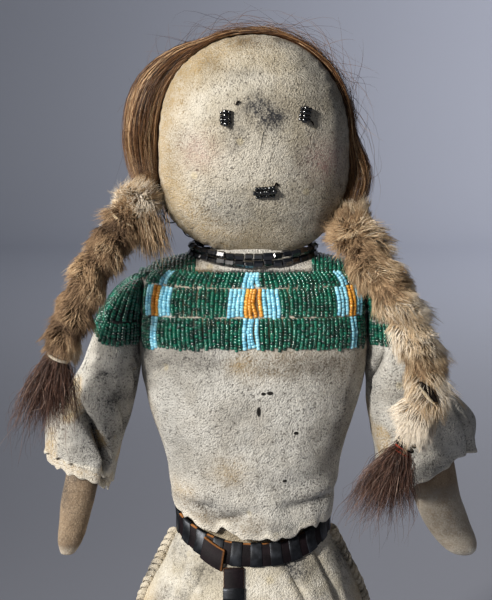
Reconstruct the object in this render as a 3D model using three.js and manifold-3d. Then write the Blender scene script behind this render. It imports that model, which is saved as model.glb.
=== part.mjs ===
// A hide doll of a woman in a dress with a beaded yoke, standing on her moccasins.
// Millimetres, +Z up, the doll faces -Y. Left and right are the doll's own: her right side is -X.

import * as THREE from "three";
import { mergeVertices } from "three/addons/utils/BufferGeometryUtils.js";
import Module from "manifold-3d";

const wasm = await Module();
wasm.setup();

// Fits and hide thicknesses
const FIT_GAP = 0.3;
const DRESS_HIDE = 1.6;
const HEAD_HIDE = 1.8;

// Lengths up the figure, from the floor to the crown
const LEG_LENGTH = 172;
const HIP_HEIGHT = 42;
const BODICE_LENGTH = 131;
const SHOULDER_RISE = 5.5;
const NECK_LENGTH = 5.5;
const HEAD_HEIGHT = 107;
const CHIN_DIP = 3;

// Widths and depths of the stuffed body, over the dress
const HIP_WIDTH = 74;
const HIP_DEPTH = 44;
const WAIST_WIDTH = 74;
const WAIST_DEPTH = 50;
const CHEST_WIDTH = 112;
const CHEST_DEPTH = 62;
const NECK_WIDTH = 54;
const NECK_DEPTH = 32;

// Head and hair
const HEAD_WIDTH = 97;
const HEAD_DEPTH = 62;
const HAIR_DEPTH = 3.4;
const FACE_BEAD = 2.6;

// Beadwork
const SEED_BEAD = 1.7;
const ROW_PITCH = 2.05;
const LANE_GAP = 0.4;
const CHOKER_BEAD = 4.0;
const CHOKER_BEADS = 36;

// Belt and skirt
const BELT_WIDTH = 10.6;
const BELT_HIDE = 1.8;
const BELT_STRIPS = 22;
const STRIP_METAL = 0.5;
const WAIST_DROOP = 11;
const DROP_WIDTH = 10.8;
const DROP_LENGTH = 112;
const SKIRT_LENGTH = 146;
const HEM_WIDTH = 140;
const HEM_DEPTH = 102;
const SKIRT_FOLDS = 10;
const FOLD_DEPTH = 3.2;
const LACE_WIDTH = 6.4;
const LACE_PITCH = 3.8;

// Arms
const SLEEVE_LENGTH = 108;
const SLEEVE_DEPTH = 40;
const SLEEVE_FLARE = 51;
const SLEEVE_SLANT = 0.16;
const ARM_LENGTH = 147;
const HAND_WIDTH = 20;
const LEFT_ARM_SWAY = 14;

// Braids
const BRAID_WIDTH = 10;
const WRAP_WIDTH = 23;
const RIGHT_BRAID_DROP = 77;
const LEFT_BRAID_DROP = 111;
const TASSEL_LENGTH = 38;
const TASSEL_WIDTH = 28;
const SWING_ROOM = 12.5;

// Legs and moccasins
const LEG_WIDTH = 28;
const ANKLE_WIDTH = 21;
const STANCE = 42;
const SOLE_HIDE = 2.6;
const SHOE_LENGTH = 60;
const SHOE_WIDTH = 27;
const SHOE_HEIGHT = 24;
const TOE_SHARE = 0.64;

// Levels that follow from the lengths
const SEAT_Z = LEG_LENGTH;
const WAIST_Z = SEAT_Z + HIP_HEIGHT;
const SHOULDER_Z = WAIST_Z + BODICE_LENGTH;
const NECK_BASE_Z = SHOULDER_Z + SHOULDER_RISE;
const HEAD_SEAM_Z = NECK_BASE_Z + NECK_LENGTH;
const HEAD_Z = HEAD_SEAM_Z - CHIN_DIP + HEAD_HEIGHT / 2;
const HEM_Z = WAIST_Z - SKIRT_LENGTH;
const RIGHT = -1;
const LEFT = 1;

// Shaping helpers

const point = (x, y, z) => new THREE.Vector3(x, y, z);
const mix = THREE.MathUtils.lerp;

function through(stations) {
  const last = stations.length - 1;
  const slopes = stations.map((station, i) => {
    const before = stations[Math.max(i - 1, 0)];
    const after = stations[Math.min(i + 1, last)];
    return (after[1] - before[1]) / (after[0] - before[0]);
  });
  return (at) => {
    const x = THREE.MathUtils.clamp(at, stations[0][0], stations[last][0]);
    let i = 0;
    while (i < last - 1 && x > stations[i + 1][0]) i += 1;
    const [p0, v0] = stations[i];
    const [p1, v1] = stations[i + 1];
    const span = p1 - p0;
    const t = (x - p0) / span;
    const rise = t * t * (3 - 2 * t);
    const lead = t * (1 - t) * (1 - t) * slopes[i];
    const tail = t * t * (t - 1) * slopes[i + 1];
    return mix(v0, v1, rise) + span * (lead + tail);
  };
}

function solid(points, faces) {
  let volume = 0;
  for (let i = 0; i < faces.length; i += 3) {
    const [a, b, c] = [points[faces[i]], points[faces[i + 1]], points[faces[i + 2]]];
    volume += a.dot(b.clone().cross(c));
  }
  const index = volume < 0 ? faces.slice().reverse() : faces;
  const geometry = new THREE.BufferGeometry().setFromPoints(points);
  geometry.setIndex(index);
  return geometry;
}

function loft(rings, loop = false) {
  const sides = rings[0].length;
  const points = rings.flat();
  const faces = [];
  const spans = loop ? rings.length : rings.length - 1;
  for (let r = 0; r < spans; r += 1) {
    const a = r * sides;
    const b = ((r + 1) % rings.length) * sides;
    for (let s = 0; s < sides; s += 1) {
      const t = (s + 1) % sides;
      faces.push(a + s, a + t, b + t, a + s, b + t, b + s);
    }
  }
  if (!loop) {
    const end = (rings.length - 1) * sides;
    for (let s = 1; s < sides - 1; s += 1) {
      faces.push(0, s + 1, s, end, end + s, end + s + 1);
    }
  }
  return solid(points, faces);
}

function wall(outer, inner) {
  return loft([...outer, ...inner.slice().reverse()], true);
}

function toSolid(geometry) {
  const bare = geometry.clone();
  bare.deleteAttribute("normal");
  bare.deleteAttribute("uv");
  const merged = mergeVertices(bare, 1e-4);
  return new wasm.Manifold(new wasm.Mesh({
    numProp: 3,
    vertProperties: new Float32Array(merged.attributes.position.array),
    triVerts: new Uint32Array(merged.index.array),
  }));
}

function fromSolid(body) {
  const mesh = body.getMesh();
  const geometry = new THREE.BufferGeometry();
  const positions = new Float32Array(mesh.numVert * 3);
  for (let i = 0; i < mesh.numVert; i += 1) {
    for (let k = 0; k < 3; k += 1) positions[3 * i + k] = mesh.vertProperties[mesh.numProp * i + k];
  }
  geometry.setAttribute("position", new THREE.BufferAttribute(positions, 3));
  geometry.setIndex(Array.from(mesh.triVerts));
  return geometry;
}

function cut(geometry, ...tools) {
  return fromSolid(tools.reduce((body, tool) => body.subtract(toSolid(tool)), toSolid(geometry)));
}

function join(...geometries) {
  return fromSolid(geometries.map(toSolid).reduce((body, next) => body.add(next)));
}

function keep(geometry, tool) {
  return fromSolid(toSolid(geometry).intersect(toSolid(tool)));
}

const ROOM = 2000;

function half(side) {
  return new THREE.BoxGeometry(ROOM, ROOM, ROOM).translate(0, side * (ROOM / 2 + FIT_GAP / 2), 0);
}

function above(z) {
  return new THREE.BoxGeometry(ROOM, ROOM, ROOM).translate(0, 0, z + ROOM / 2);
}

function oval(turn, halfWidth, halfDepth, power) {
  const c = Math.cos(2 * Math.PI * turn);
  const s = Math.sin(2 * Math.PI * turn);
  const x = Math.sign(c) * Math.abs(c) ** (2 / power) * halfWidth;
  const y = Math.sign(s) * Math.abs(s) ** (2 / power) * halfDepth;
  return [x, y];
}

function ring(surface, level, out, sides) {
  return Array.from({ length: sides }, (_, i) => surface(i / sides, level, out));
}

// Torso: every garment on it is this one surface moved outward

const chest = (share) => WAIST_Z + share * BODICE_LENGTH;
const girth = (share) => mix(WAIST_WIDTH, CHEST_WIDTH, share) / 2;
const rise = (share) => SHOULDER_Z + share * SHOULDER_RISE;

const torsoHalfWidth = through([
  [SEAT_Z, HIP_WIDTH * 0.4],
  [SEAT_Z + 0.35 * HIP_HEIGHT, HIP_WIDTH / 2],
  [WAIST_Z, WAIST_WIDTH / 2],
  [chest(0.13), girth(0.19)],
  [chest(0.33), girth(0.47)],
  [chest(0.48), girth(0.79)],
  [chest(0.66), girth(1)],
  [chest(0.84), girth(0.99)],
  [chest(0.93), girth(0.95)],
  [chest(0.97), girth(0.86)],
  [SHOULDER_Z, girth(0.62)],
  [rise(0.4), mix(NECK_WIDTH / 2, girth(0.62), 0.62)],
  [rise(0.8), mix(NECK_WIDTH / 2, girth(0.62), 0.14)],
  [NECK_BASE_Z, NECK_WIDTH / 2],
]);

const torsoHalfDepth = through([
  [SEAT_Z, HIP_DEPTH * 0.36],
  [SEAT_Z + 0.35 * HIP_HEIGHT, HIP_DEPTH / 2],
  [WAIST_Z, WAIST_DEPTH / 2],
  [chest(0.33), CHEST_DEPTH * 0.47],
  [chest(0.6), CHEST_DEPTH / 2],
  [chest(0.84), CHEST_DEPTH * 0.45],
  [chest(0.97), mix(NECK_DEPTH, CHEST_DEPTH, 0.34) / 2],
  [rise(0.4), mix(NECK_DEPTH, CHEST_DEPTH, 0.12) / 2],
  [NECK_BASE_Z, NECK_DEPTH / 2],
]);

const torsoSquare = through([
  [WAIST_Z, 2.3],
  [chest(0.45), 2.4],
  [chest(0.8), 2.9],
  [SHOULDER_Z, 2.7],
  [NECK_BASE_Z, 2.3],
]);

const droopFade = through([
  [HEM_Z, 0],
  [WAIST_Z - BELT_WIDTH, 1],
  [WAIST_Z + BELT_WIDTH, 1],
  [chest(0.5), 0],
]);

function droop(turn, z) {
  const front = Math.max(0, -Math.sin(2 * Math.PI * turn));
  return WAIST_DROOP * front * front * droopFade(z);
}

function torso(turn, z, out) {
  const [x, y] = oval(turn, torsoHalfWidth(z) + out, torsoHalfDepth(z) + out, torsoSquare(z));
  return point(x, y, z);
}

function dress(turn, z, out) {
  return torso(turn, z - droop(turn, z), out);
}

const TORSO_SIDES = 22;
const bodyOut = -(DRESS_HIDE + 2 * FIT_GAP);
const torsoLevels = [0.13, 0.33, 0.48, 0.66, 0.84, 0.93, 0.97, 1].map(chest);
const shoulderLevels = [0.4, 0.8, 1].map(rise);
const bodyLevels = [SEAT_Z, SEAT_Z + 0.35 * HIP_HEIGHT, WAIST_Z, ...torsoLevels, ...shoulderLevels];
const bodyTorso = loft(bodyLevels.map((z) => ring(torso, z, bodyOut, TORSO_SIDES)));

const beltTop = WAIST_Z + BELT_WIDTH / 2;
const beltFoot = WAIST_Z - BELT_WIDTH / 2;
const bodiceLevels = [beltTop + FIT_GAP, ...torsoLevels, ...shoulderLevels];
const bodice = wall(
  bodiceLevels.map((z) => ring(dress, z, 0, TORSO_SIDES)),
  bodiceLevels.map((z) => ring(dress, z, -DRESS_HIDE, TORSO_SIDES)),
);
const dressFront = keep(bodice, half(-1));
const dressBack = keep(bodice, half(1));

// Beaded lanes: rows of seed beads sewn side by side, each row a rib that stands off the hide

function arcTurns(surface, level, from, to) {
  const fine = 240;
  const turns = Array.from({ length: fine + 1 }, (_, i) => mix(from, to, i / fine));
  const lengths = [0];
  for (let i = 1; i <= fine; i += 1) {
    const step = surface(turns[i], level, 0).distanceTo(surface(turns[i - 1], level, 0));
    lengths.push(lengths[i - 1] + step);
  }
  const turnAt = (share) => {
    const wanted = share * lengths[fine];
    const i = Math.max(1, lengths.findIndex((length) => length >= wanted - 1e-9));
    return mix(turns[i - 1], turns[i], (wanted - lengths[i - 1]) / (lengths[i] - lengths[i - 1]));
  };
  return { length: lengths[fine], turnAt };
}

function evenTurns(surface, level, from, to) {
  const { length, turnAt } = arcTurns(surface, level, from, to);
  const rows = Math.round(length / ROW_PITCH);
  return Array.from({ length: 2 * rows + 1 }, (_, k) => turnAt(k / (2 * rows)));
}

function beadLane(surface, from, to, edges) {
  const bands = edges.length - 1;
  const heart = (from + to) / 2;
  const turns = evenTurns(surface, (edges[0](heart) + edges[bands](heart)) / 2, from, to);
  const last = turns.length - 1;
  const backing = 2 * FIT_GAP;
  const points = [];
  const column = (turn, out) => edges.map((edge) => points.push(surface(turn, edge(turn), out)) - 1);
  const face = turns.map((turn, k) => column(turn, backing + (k % 2 ? 1 : 0.45) * SEED_BEAD));
  const patches = [];
  for (let k = 0; k < last; k += 4) patches.push(k);
  patches.push(last);
  const back = patches.map((k) => column(turns[k], backing));
  const faces = [];
  const quad = (a, b, c, d) => faces.push(a, b, c, a, c, d);
  const strip = (left, right) => {
    for (let b = 0; b < bands; b += 1) quad(left[b], left[b + 1], right[b + 1], right[b]);
  };
  for (let k = 0; k < last; k += 1) strip(face[k], face[k + 1]);
  for (let p = 0; p < patches.length - 1; p += 1) {
    const [near, far] = [back[p], back[p + 1]];
    const end = face[patches[p + 1]];
    strip(far, near);
    for (let k = patches[p]; k < patches[p + 1]; k += 1) {
      faces.push(near[0], face[k][0], face[k + 1][0]);
      faces.push(near[bands], face[k + 1][bands], face[k][bands]);
    }
    faces.push(near[0], end[0], far[0], near[bands], far[bands], end[bands]);
  }
  strip(back[0], face[0]);
  strip(face[last], back[back.length - 1]);
  return solid(points, faces);
}

const sideRise = (turn) => Math.cos(2 * Math.PI * turn) ** 2;
const yokeEdges = [
  [() => SHOULDER_Z - LANE_GAP, () => chest(0.97), (turn) => chest(0.943) + sideRise(turn)],
  [(turn) => chest(0.943) + sideRise(turn) - LANE_GAP, (turn) => chest(0.84) - sideRise(turn)],
  [(turn) => chest(0.84) - sideRise(turn) - LANE_GAP, (turn) => chest(0.722) - 2 * sideRise(turn)],
];
const YOKE_MARGIN = 0.06;
const yokeFront = yokeEdges.map((edges) => beadLane(torso, 0.5 + YOKE_MARGIN, 1 - YOKE_MARGIN, edges));
const yokeBack = yokeEdges.map((edges) => beadLane(torso, YOKE_MARGIN, 0.5 - YOKE_MARGIN, edges));

// Neck and choker

const NECK_SIDES = 20;
const neckFoot = NECK_BASE_Z + FIT_GAP;
const neckTop = HEAD_SEAM_Z - FIT_GAP;

function neckRing(z, share) {
  return Array.from({ length: NECK_SIDES }, (_, i) => {
    const [x, y] = oval(i / NECK_SIDES, share * NECK_WIDTH / 2, share * NECK_DEPTH / 2, 2.2);
    return point(x, y, z);
  });
}

const neck = loft([neckRing(neckFoot, 0.86), neckRing(mix(neckFoot, neckTop, 0.5), 0.8), neckRing(neckTop, 0.72)]);

function strand(level) {
  const radius = CHOKER_BEAD / 2;
  const sideLift = 0.65 * CHOKER_BEAD;
  const halfWidth = NECK_WIDTH / 2 + CHOKER_BEAD;
  const halfDepth = NECK_DEPTH / 2 + 1.5 * CHOKER_BEAD;
  const centre = (turn) => {
    const [x, y] = oval(turn, halfWidth, halfDepth, 2);
    return point(x, y, level + sideLift * sideRise(turn));
  };
  const rings = [];
  for (let bead = 0; bead < CHOKER_BEADS; bead += 1) {
    for (const [share, size] of [[0.1, 0.55], [0.55, 1]]) {
      const turn = (bead + share) / CHOKER_BEADS;
      const here = centre(turn);
      const along = centre(turn + 1e-4).sub(here).normalize();
      const away = point(here.x, here.y, 0).normalize();
      const up = along.clone().cross(away).normalize();
      rings.push(Array.from({ length: 5 }, (_, i) => {
        const angle = (2 * Math.PI * i) / 5;
        return here.clone()
          .addScaledVector(away, size * radius * Math.cos(angle))
          .addScaledVector(up, size * radius * Math.sin(angle));
      }));
    }
  }
  return loft(rings, true);
}

const chokerFoot = NECK_BASE_Z - 0.5 * CHOKER_BEAD + FIT_GAP;
const chokerLower = strand(chokerFoot);
const chokerUpper = strand(chokerFoot + CHOKER_BEAD + FIT_GAP);

// Head: two hide panels sewn round the edge and stuffed, flat where the neck joins

const HEAD_SIDES = 24;
const JAW_SQUARE = 3;
const HAIR_SQUARE = 2.5;

function headRing(share, y, grow, jaw) {
  return Array.from({ length: HEAD_SIDES }, (_, i) => {
    const low = i / HEAD_SIDES > 0.5;
    const [x, z] = oval(i / HEAD_SIDES, HEAD_WIDTH / 2 + grow, HEAD_HEIGHT / 2 + grow, low ? jaw : 2.1);
    return point(share * x, y, HEAD_Z + share * z);
  });
}

function pillow(grow, jaw = JAW_SQUARE) {
  const shares = [0.3, 0.62, 0.84, 0.95];
  const bulge = (share) => (1 - share ** 2.3) ** 0.55;
  const front = shares.map((share) => headRing(share, -bulge(share) * (HEAD_DEPTH / 2 + grow), grow, jaw));
  const back = shares.map((share) => headRing(share, bulge(share) * (HEAD_DEPTH / 2 + grow), grow, jaw));
  return loft([...front, headRing(1, 0, grow, jaw), ...back.reverse()]);
}

const headOuter = pillow(0);
const headInner = pillow(-HEAD_HIDE);
const headClear = pillow(FIT_GAP);
const headShell = keep(cut(headOuter, headInner), above(HEAD_SEAM_Z));
const headFace = keep(headShell, half(-1));
const headBack = keep(headShell, half(1));
const headStuffing = keep(pillow(-HEAD_HIDE - FIT_GAP), above(HEAD_SEAM_Z));

// Eyes and mouth: sewn clusters of black beads

function faceBeads(x, z, columns, rows, tilt) {
  const pitch = 0.74 * FACE_BEAD;
  const beads = [];
  for (let c = 0; c < columns; c += 1) {
    for (let r = 0; r < rows; r += 1) {
      const across = (c - (columns - 1) / 2) * pitch;
      const up = (r - (rows - 1) / 2) * pitch;
      const spot = new THREE.Vector2(across, up).rotateAround(new THREE.Vector2(), tilt);
      beads.push(faceBead(x + spot.x, z + spot.y));
    }
  }
  return join(...beads);
}

function faceBead(x, z) {
  const ray = new THREE.Raycaster(point(x, -ROOM, z), point(0, 1, 0));
  const skin = new THREE.Mesh(headClear, new THREE.MeshBasicMaterial({ side: THREE.DoubleSide }));
  const hit = ray.intersectObject(skin)[0].point;
  return new THREE.SphereGeometry(FACE_BEAD / 2, 5, 4).translate(x, hit.y - FACE_BEAD / 2, z);
}

const eyeLine = HEAD_Z + 0.13 * HEAD_HEIGHT;
const eyeRight = faceBeads(-0.137 * HEAD_WIDTH, eyeLine, 2, 3, 0.1);
const eyeLeft = faceBeads(0.25 * HEAD_WIDTH, eyeLine + 1.6, 2, 3, -0.35);
const mouth = faceBeads(0.055 * HEAD_WIDTH, HEAD_Z - 0.2 * HEAD_HEIGHT, 4, 2, 0.05);

// Hair: a cap over the back panel and a lock down each side to the braid

const scalpOuter = pillow(HAIR_DEPTH + FIT_GAP, HAIR_SQUARE);
const scalpRise = above(HEAD_Z - 0.36 * HEAD_HEIGHT);
const hairScalp = keep(keep(cut(scalpOuter, headClear), half(1)), scalpRise);
const scalpClear = keep(pillow(HAIR_DEPTH + 2 * FIT_GAP), half(1).translate(0, -FIT_GAP, 0));

const loop = (sides, place) => Array.from({ length: sides }, (_, s) => place((2 * Math.PI * s) / sides));

function tube(curve, from, to, steps, radiusAt, sides) {
  const frames = curve.computeFrenetFrames(200, false);
  return Array.from({ length: steps + 1 }, (_, i) => {
    const share = mix(from, to, i / steps);
    const k = Math.round(share * 200);
    const centre = curve.getPointAt(share);
    const radius = radiusAt(i / steps);
    return loop(sides, (angle) => centre.clone()
      .addScaledVector(frames.normals[k], radius * Math.cos(angle))
      .addScaledVector(frames.binormals[k], radius * Math.sin(angle)));
  });
}

function lockOfHair(curve, steps, wideAt, deepAt) {
  return Array.from({ length: steps + 1 }, (_, i) => {
    const share = i / steps;
    const centre = curve.getPointAt(share);
    const along = curve.getTangentAt(share);
    const depth = point(0, 1, 0).addScaledVector(along, -along.y).normalize();
    const across = along.clone().cross(depth);
    return loop(10, (angle) => centre.clone()
      .addScaledVector(across, wideAt(share) * Math.cos(angle))
      .addScaledVector(depth, deepAt(share) * Math.sin(angle)));
  });
}

const braidTop = {
  [RIGHT]: point(-HEAD_WIDTH / 2 - 4.5, -4, HEAD_Z - 0.21 * HEAD_HEIGHT),
  [LEFT]: point(HEAD_WIDTH / 2 - 1.5, -8, HEAD_Z - 0.325 * HEAD_HEIGHT),
};

function hairLock(side, stations, wideAt, deepAt) {
  const foot = braidTop[side].clone().add(point(0, 0, BRAID_WIDTH / 2 + FIT_GAP));
  const route = stations.map(([x, y, z]) => {
    return point(side * (HEAD_WIDTH / 2 + x), y, HEAD_Z + z * HEAD_HEIGHT);
  });
  const curve = new THREE.CatmullRomCurve3([...route, foot.clone().add(point(0, 0, 3)), foot]);
  return cut(loft(lockOfHair(curve, 9, wideAt, deepAt)), headClear, scalpClear);
}

const hairLockRight = hairLock(
  RIGHT,
  [[-12, 6, 0.425], [-1, 6, 0.325], [5.5, 6, 0.2], [8.5, 5, 0.04], [7, 3, -0.08]],
  through([[0, 3], [0.25, 6.5], [0.7, 7.3], [1, 6]]),
  through([[0, 5], [0.3, 9], [0.7, 9], [1, 6]]),
);
const hairLockLeft = hairLock(
  LEFT,
  [[-12, 6, 0.43], [-1, 6, 0.325], [2.5, 6, 0.18], [3, 5, 0], [3.5, 3, -0.15]],
  through([[0, 2.5], [0.4, 4], [0.8, 5.5], [1, 5]]),
  through([[0, 4], [0.4, 7], [0.8, 7], [1, 6]]),
);

// Braids wrapped in fur, hanging from the locks in front of the sleeves

const braidY = -(SLEEVE_DEPTH / 2 + WRAP_WIDTH / 2 + SWING_ROOM);
const braidDrop = { [RIGHT]: RIGHT_BRAID_DROP, [LEFT]: LEFT_BRAID_DROP };
const braidRoute = {
  [RIGHT]: [
    [0, 0, 0], [-0.052, 0.1, -0.091], [-0.13, 0.45, -0.195], [-0.247, 0.8, -0.351],
    [-0.364, 1, -0.584], [-0.461, 1, -0.805], [-0.526, 1, -1],
  ],
  [LEFT]: [
    [0, 0, 0], [0.032, 0.2, -0.081], [0.09, 0.55, -0.198], [0.207, 0.9, -0.369],
    [0.279, 1, -0.541], [0.324, 1, -0.721], [0.261, 1, -0.91], [0.221, 1, -1],
  ],
};

function braidParts(side, tasselReach, tasselWidth) {
  const top = braidTop[side];
  const drop = braidDrop[side];
  const curve = new THREE.CatmullRomCurve3(braidRoute[side].map(([x, reach, z]) => {
    return point(top.x + x * drop, mix(top.y, braidY, reach), top.z + z * drop);
  }));
  const radius = BRAID_WIDTH / 2;
  const bore = radius + 3 * FIT_GAP;
  const core = tube(curve, 0, 1, 12, () => radius, 8);
  const start = curve.getTangentAt(0);
  const dome = [0.96, 0.8, 0.5].map((rise) => core[0].map((p) => {
    return p.clone().lerp(top, 1 - Math.sqrt(1 - rise * rise)).addScaledVector(start, -rise * radius);
  }));
  const swell = (share) => 0.94 + 0.06 * Math.cos(2 * Math.PI * 5 * share);
  const taper = through([[0, 0.72], [0.12, 1], [0.85, 1], [1, 0.66]]);
  const wrapRadius = (share) => 0.5 * WRAP_WIDTH * swell(share) * taper(share);
  const [wrapFrom, wrapTo, tieFrom, tieTo] = [0.05, 0.95, 0.962, 0.99];
  const tieRadius = (share) => bore + (share === 0.5 ? 2.4 : 1.4);
  const end = curve.getPointAt(1).addScaledVector(curve.getTangentAt(1), FIT_GAP);
  const lead = end.clone().addScaledVector(curve.getTangentAt(1), 0.15 * tasselReach.length());
  const tassel = new THREE.CatmullRomCurve3([end, lead, end.clone().add(tasselReach)]);
  const flare = through([[0, 0.17], [0.25, 0.3], [0.6, 0.44], [1, 0.5]]);
  return {
    hair: loft([...dome, ...core]),
    wrap: wall(tube(curve, wrapFrom, wrapTo, 13, wrapRadius, 11), tube(curve, wrapFrom, wrapTo, 13, () => bore, 11)),
    tie: wall(tube(curve, tieFrom, tieTo, 2, tieRadius, 11), tube(curve, tieFrom, tieTo, 2, () => bore, 11)),
    tassel: loft(lockOfHair(tassel, 5, (t) => flare(t) * tasselWidth, (t) => mix(0.17, 0.24, t) * tasselWidth)),
  };
}

const braidRight = braidParts(RIGHT, point(-0.21, 0, -1).multiplyScalar(TASSEL_LENGTH), TASSEL_WIDTH);
const braidLeft = braidParts(LEFT, point(-0.316, 0, -0.947).multiplyScalar(TASSEL_LENGTH), 1.07 * TASSEL_WIDTH);

// Skirt: a bell of two panels with its folds, laced down both side seams

const skirtLevel = (share) => WAIST_Z - share * SKIRT_LENGTH;
const skirtHalfWidth = through([
  [HEM_Z, HEM_WIDTH / 2],
  [skirtLevel(0.63), mix(WAIST_WIDTH, HEM_WIDTH, 0.8) / 2],
  [skirtLevel(0.31), mix(WAIST_WIDTH, HEM_WIDTH, 0.53) / 2],
  [skirtLevel(0.14), mix(WAIST_WIDTH, HEM_WIDTH, 0.22) / 2],
  [beltFoot, torsoHalfWidth(beltFoot) + 0.6],
  [beltTop, torsoHalfWidth(beltTop)],
]);
const skirtHalfDepth = through([
  [HEM_Z, HEM_DEPTH / 2],
  [skirtLevel(0.63), mix(WAIST_DEPTH, HEM_DEPTH, 0.78) / 2],
  [skirtLevel(0.31), mix(WAIST_DEPTH, HEM_DEPTH, 0.5) / 2],
  [skirtLevel(0.14), mix(WAIST_DEPTH, HEM_DEPTH, 0.22) / 2],
  [beltFoot, torsoHalfDepth(beltFoot) + 0.6],
  [beltTop, torsoHalfDepth(beltTop)],
]);
const foldFade = through([[HEM_Z, 1], [skirtLevel(0.5), 0.6], [skirtLevel(0.15), 0], [beltTop, 0]]);

function skirt(turn, level, out) {
  const z = level - droop(turn, level);
  const fold = FOLD_DEPTH * foldFade(level) * Math.cos(2 * Math.PI * SKIRT_FOLDS * turn);
  const [x, y] = oval(turn, skirtHalfWidth(z) + out + fold, skirtHalfDepth(z) + out + fold, 2.3);
  return point(x, y, z);
}

const SKIRT_SIDES = 4 * SKIRT_FOLDS;
const skirtLevels = [beltTop - FIT_GAP, beltFoot, ...[0.14, 0.31, 0.63, 1].map(skirtLevel)];
const skirtBell = wall(
  skirtLevels.map((z) => ring(skirt, z, 0, SKIRT_SIDES)),
  skirtLevels.map((z) => ring(skirt, z, -DRESS_HIDE, SKIRT_SIDES)),
);
const skirtFront = keep(skirtBell, half(-1));
const skirtBack = keep(skirtBell, half(1));

function skirtSeam(turn, z, out) {
  const i = Math.max(1, skirtLevels.findIndex((level) => level <= z));
  const [upper, lower] = [skirtLevels[i - 1], skirtLevels[i]];
  return skirt(turn, upper, out).lerp(skirt(turn, lower, out), (upper - z) / (upper - lower));
}

function lacing(side) {
  const turn = side === LEFT ? 0 : 0.5;
  const top = beltFoot - FIT_GAP - LACE_WIDTH / 2;
  const foot = HEM_Z + LACE_WIDTH;
  const wraps = Math.round((top - foot) / LACE_PITCH);
  const rings = [];
  for (let i = 0; i <= 2 * wraps; i += 1) {
    const z = mix(top, foot, i / (2 * wraps));
    const radius = (i % 2 ? 0.5 : 0.36) * LACE_WIDTH;
    const seat = skirtSeam(turn, z, LACE_WIDTH / 2 + 2 * FIT_GAP);
    rings.push(Array.from({ length: 5 }, (_, s) => {
      const angle = (2 * Math.PI * s) / 5;
      const tilt = 0.3 * LACE_PITCH * Math.sin(angle);
      return seat.clone().add(point(radius * Math.cos(angle), radius * Math.sin(angle), tilt));
    }));
  }
  return loft(rings);
}

const skirtLacingRight = lacing(RIGHT);
const skirtLacingLeft = lacing(LEFT);

// Belt with metal strips folded round it, its free end and its hanging strap

const beltOut = 2 * FIT_GAP + BELT_HIDE;
const stripShares = [[0.27, 0], [0.28, STRIP_METAL], [0.73, STRIP_METAL], [0.74, 0]];
const beltArc = arcTurns(skirt, WAIST_Z, 0, 1);
const beltRings = [];
for (let strip = 0; strip < BELT_STRIPS; strip += 1) {
  for (const [share, raised] of stripShares) {
    const turn = beltArc.turnAt((strip + share) / BELT_STRIPS);
    beltRings.push([
      skirt(turn, beltTop, beltOut + raised),
      skirt(turn, beltTop, 2 * FIT_GAP),
      skirt(turn, beltFoot, 2 * FIT_GAP),
      skirt(turn, beltFoot, beltOut + raised),
    ]);
  }
}
const belt = loft(beltRings, true);

const tongueLie = beltOut + STRIP_METAL + 3 * FIT_GAP;
const beltTongue = loft([0, 0.25, 0.5, 0.75, 1].map((share) => {
  const turn = mix(0.645, 0.702, share);
  const [top, foot] = [beltTop - 0.6 - 3 * share, beltFoot - 3 * share];
  return [
    skirt(turn, top, tongueLie + BELT_HIDE),
    skirt(turn, top, tongueLie),
    skirt(turn, foot, tongueLie),
    skirt(turn, foot, tongueLie + BELT_HIDE),
  ];
}));

const DROP_TURN = 0.72;
const dropHead = skirt(DROP_TURN, beltFoot - 2 * FIT_GAP, 0);

function skirtFrontAt(z) {
  let front = 0;
  for (const shift of [-0.03, -0.015, 0, 0.015, 0.03]) {
    const turn = DROP_TURN + shift;
    const sag = droop(turn, z + droop(turn, z + WAIST_DROOP));
    front = Math.min(front, skirt(turn, z + sag, 0).y);
  }
  return front;
}

const dropMiddle = (z) => skirtFrontAt(z) - 3 * FIT_GAP - BELT_HIDE / 2;
const dropPivot = point(dropHead.x, dropMiddle(dropHead.z), dropHead.z - BELT_HIDE / 2);

function dropSection(down, share, raised) {
  const z = dropHead.z - down;
  const thick = share * BELT_HIDE / 2;
  const [inner, outer] = [dropMiddle(z) + thick, dropMiddle(z) - thick - raised];
  const [near, far] = [dropPivot.x - DROP_WIDTH / 2, dropPivot.x + DROP_WIDTH / 2];
  return [point(near, outer, z), point(near, inner, z), point(far, inner, z), point(far, outer, z)];
}

const dropSections = [[0, 0.35], [0.15 * BELT_HIDE, 0.75], [0.5 * BELT_HIDE, 1]].map(([down, share]) => {
  return dropSection(down, share, 0);
});
const dropPitch = 1.4 * beltArc.length / BELT_STRIPS;
for (let down = dropPitch / 2; down < DROP_LENGTH - dropPitch; down += dropPitch) {
  for (const [share, raised] of stripShares) dropSections.push(dropSection(down + share * dropPitch, 1, raised));
}
dropSections.push(dropSection(DROP_LENGTH, 1, 0));
const beltDrop = loft(dropSections);

// Arms: a stuffed arm inside each wide sleeve, beads over the sleeve head

const SLEEVE_SIDES = 18;
const sleeveTop = chest(0.955);
const armhole = CHEST_WIDTH / 2 + 2 * FIT_GAP;
const sleeveInner = {
  [RIGHT]: through([[0, 0], [0.4, 0.01], [0.62, 0.08], [1, 0.27]]),
  [LEFT]: through([[0, 0], [0.4, 0], [0.62, -0.02], [1, -0.04]]),
};
const sleeveOuter = through([[0, 0.05], [0.05, 0.19], [0.18, 0.39], [0.4, 0.58], [0.58, 0.79], [0.76, 0.97], [1, 1]]);
const sleeveDeep = through([[0, 0.42], [0.05, 0.68], [0.18, 0.9], [0.4, 1], [1, 1]]);
const sleeveFold = through([[0, 0], [0.35, 0], [1, 1]]);

function sway(side, down) {
  return side === LEFT ? LEFT_ARM_SWAY * (down / ARM_LENGTH) ** 2 : 0;
}

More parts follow.
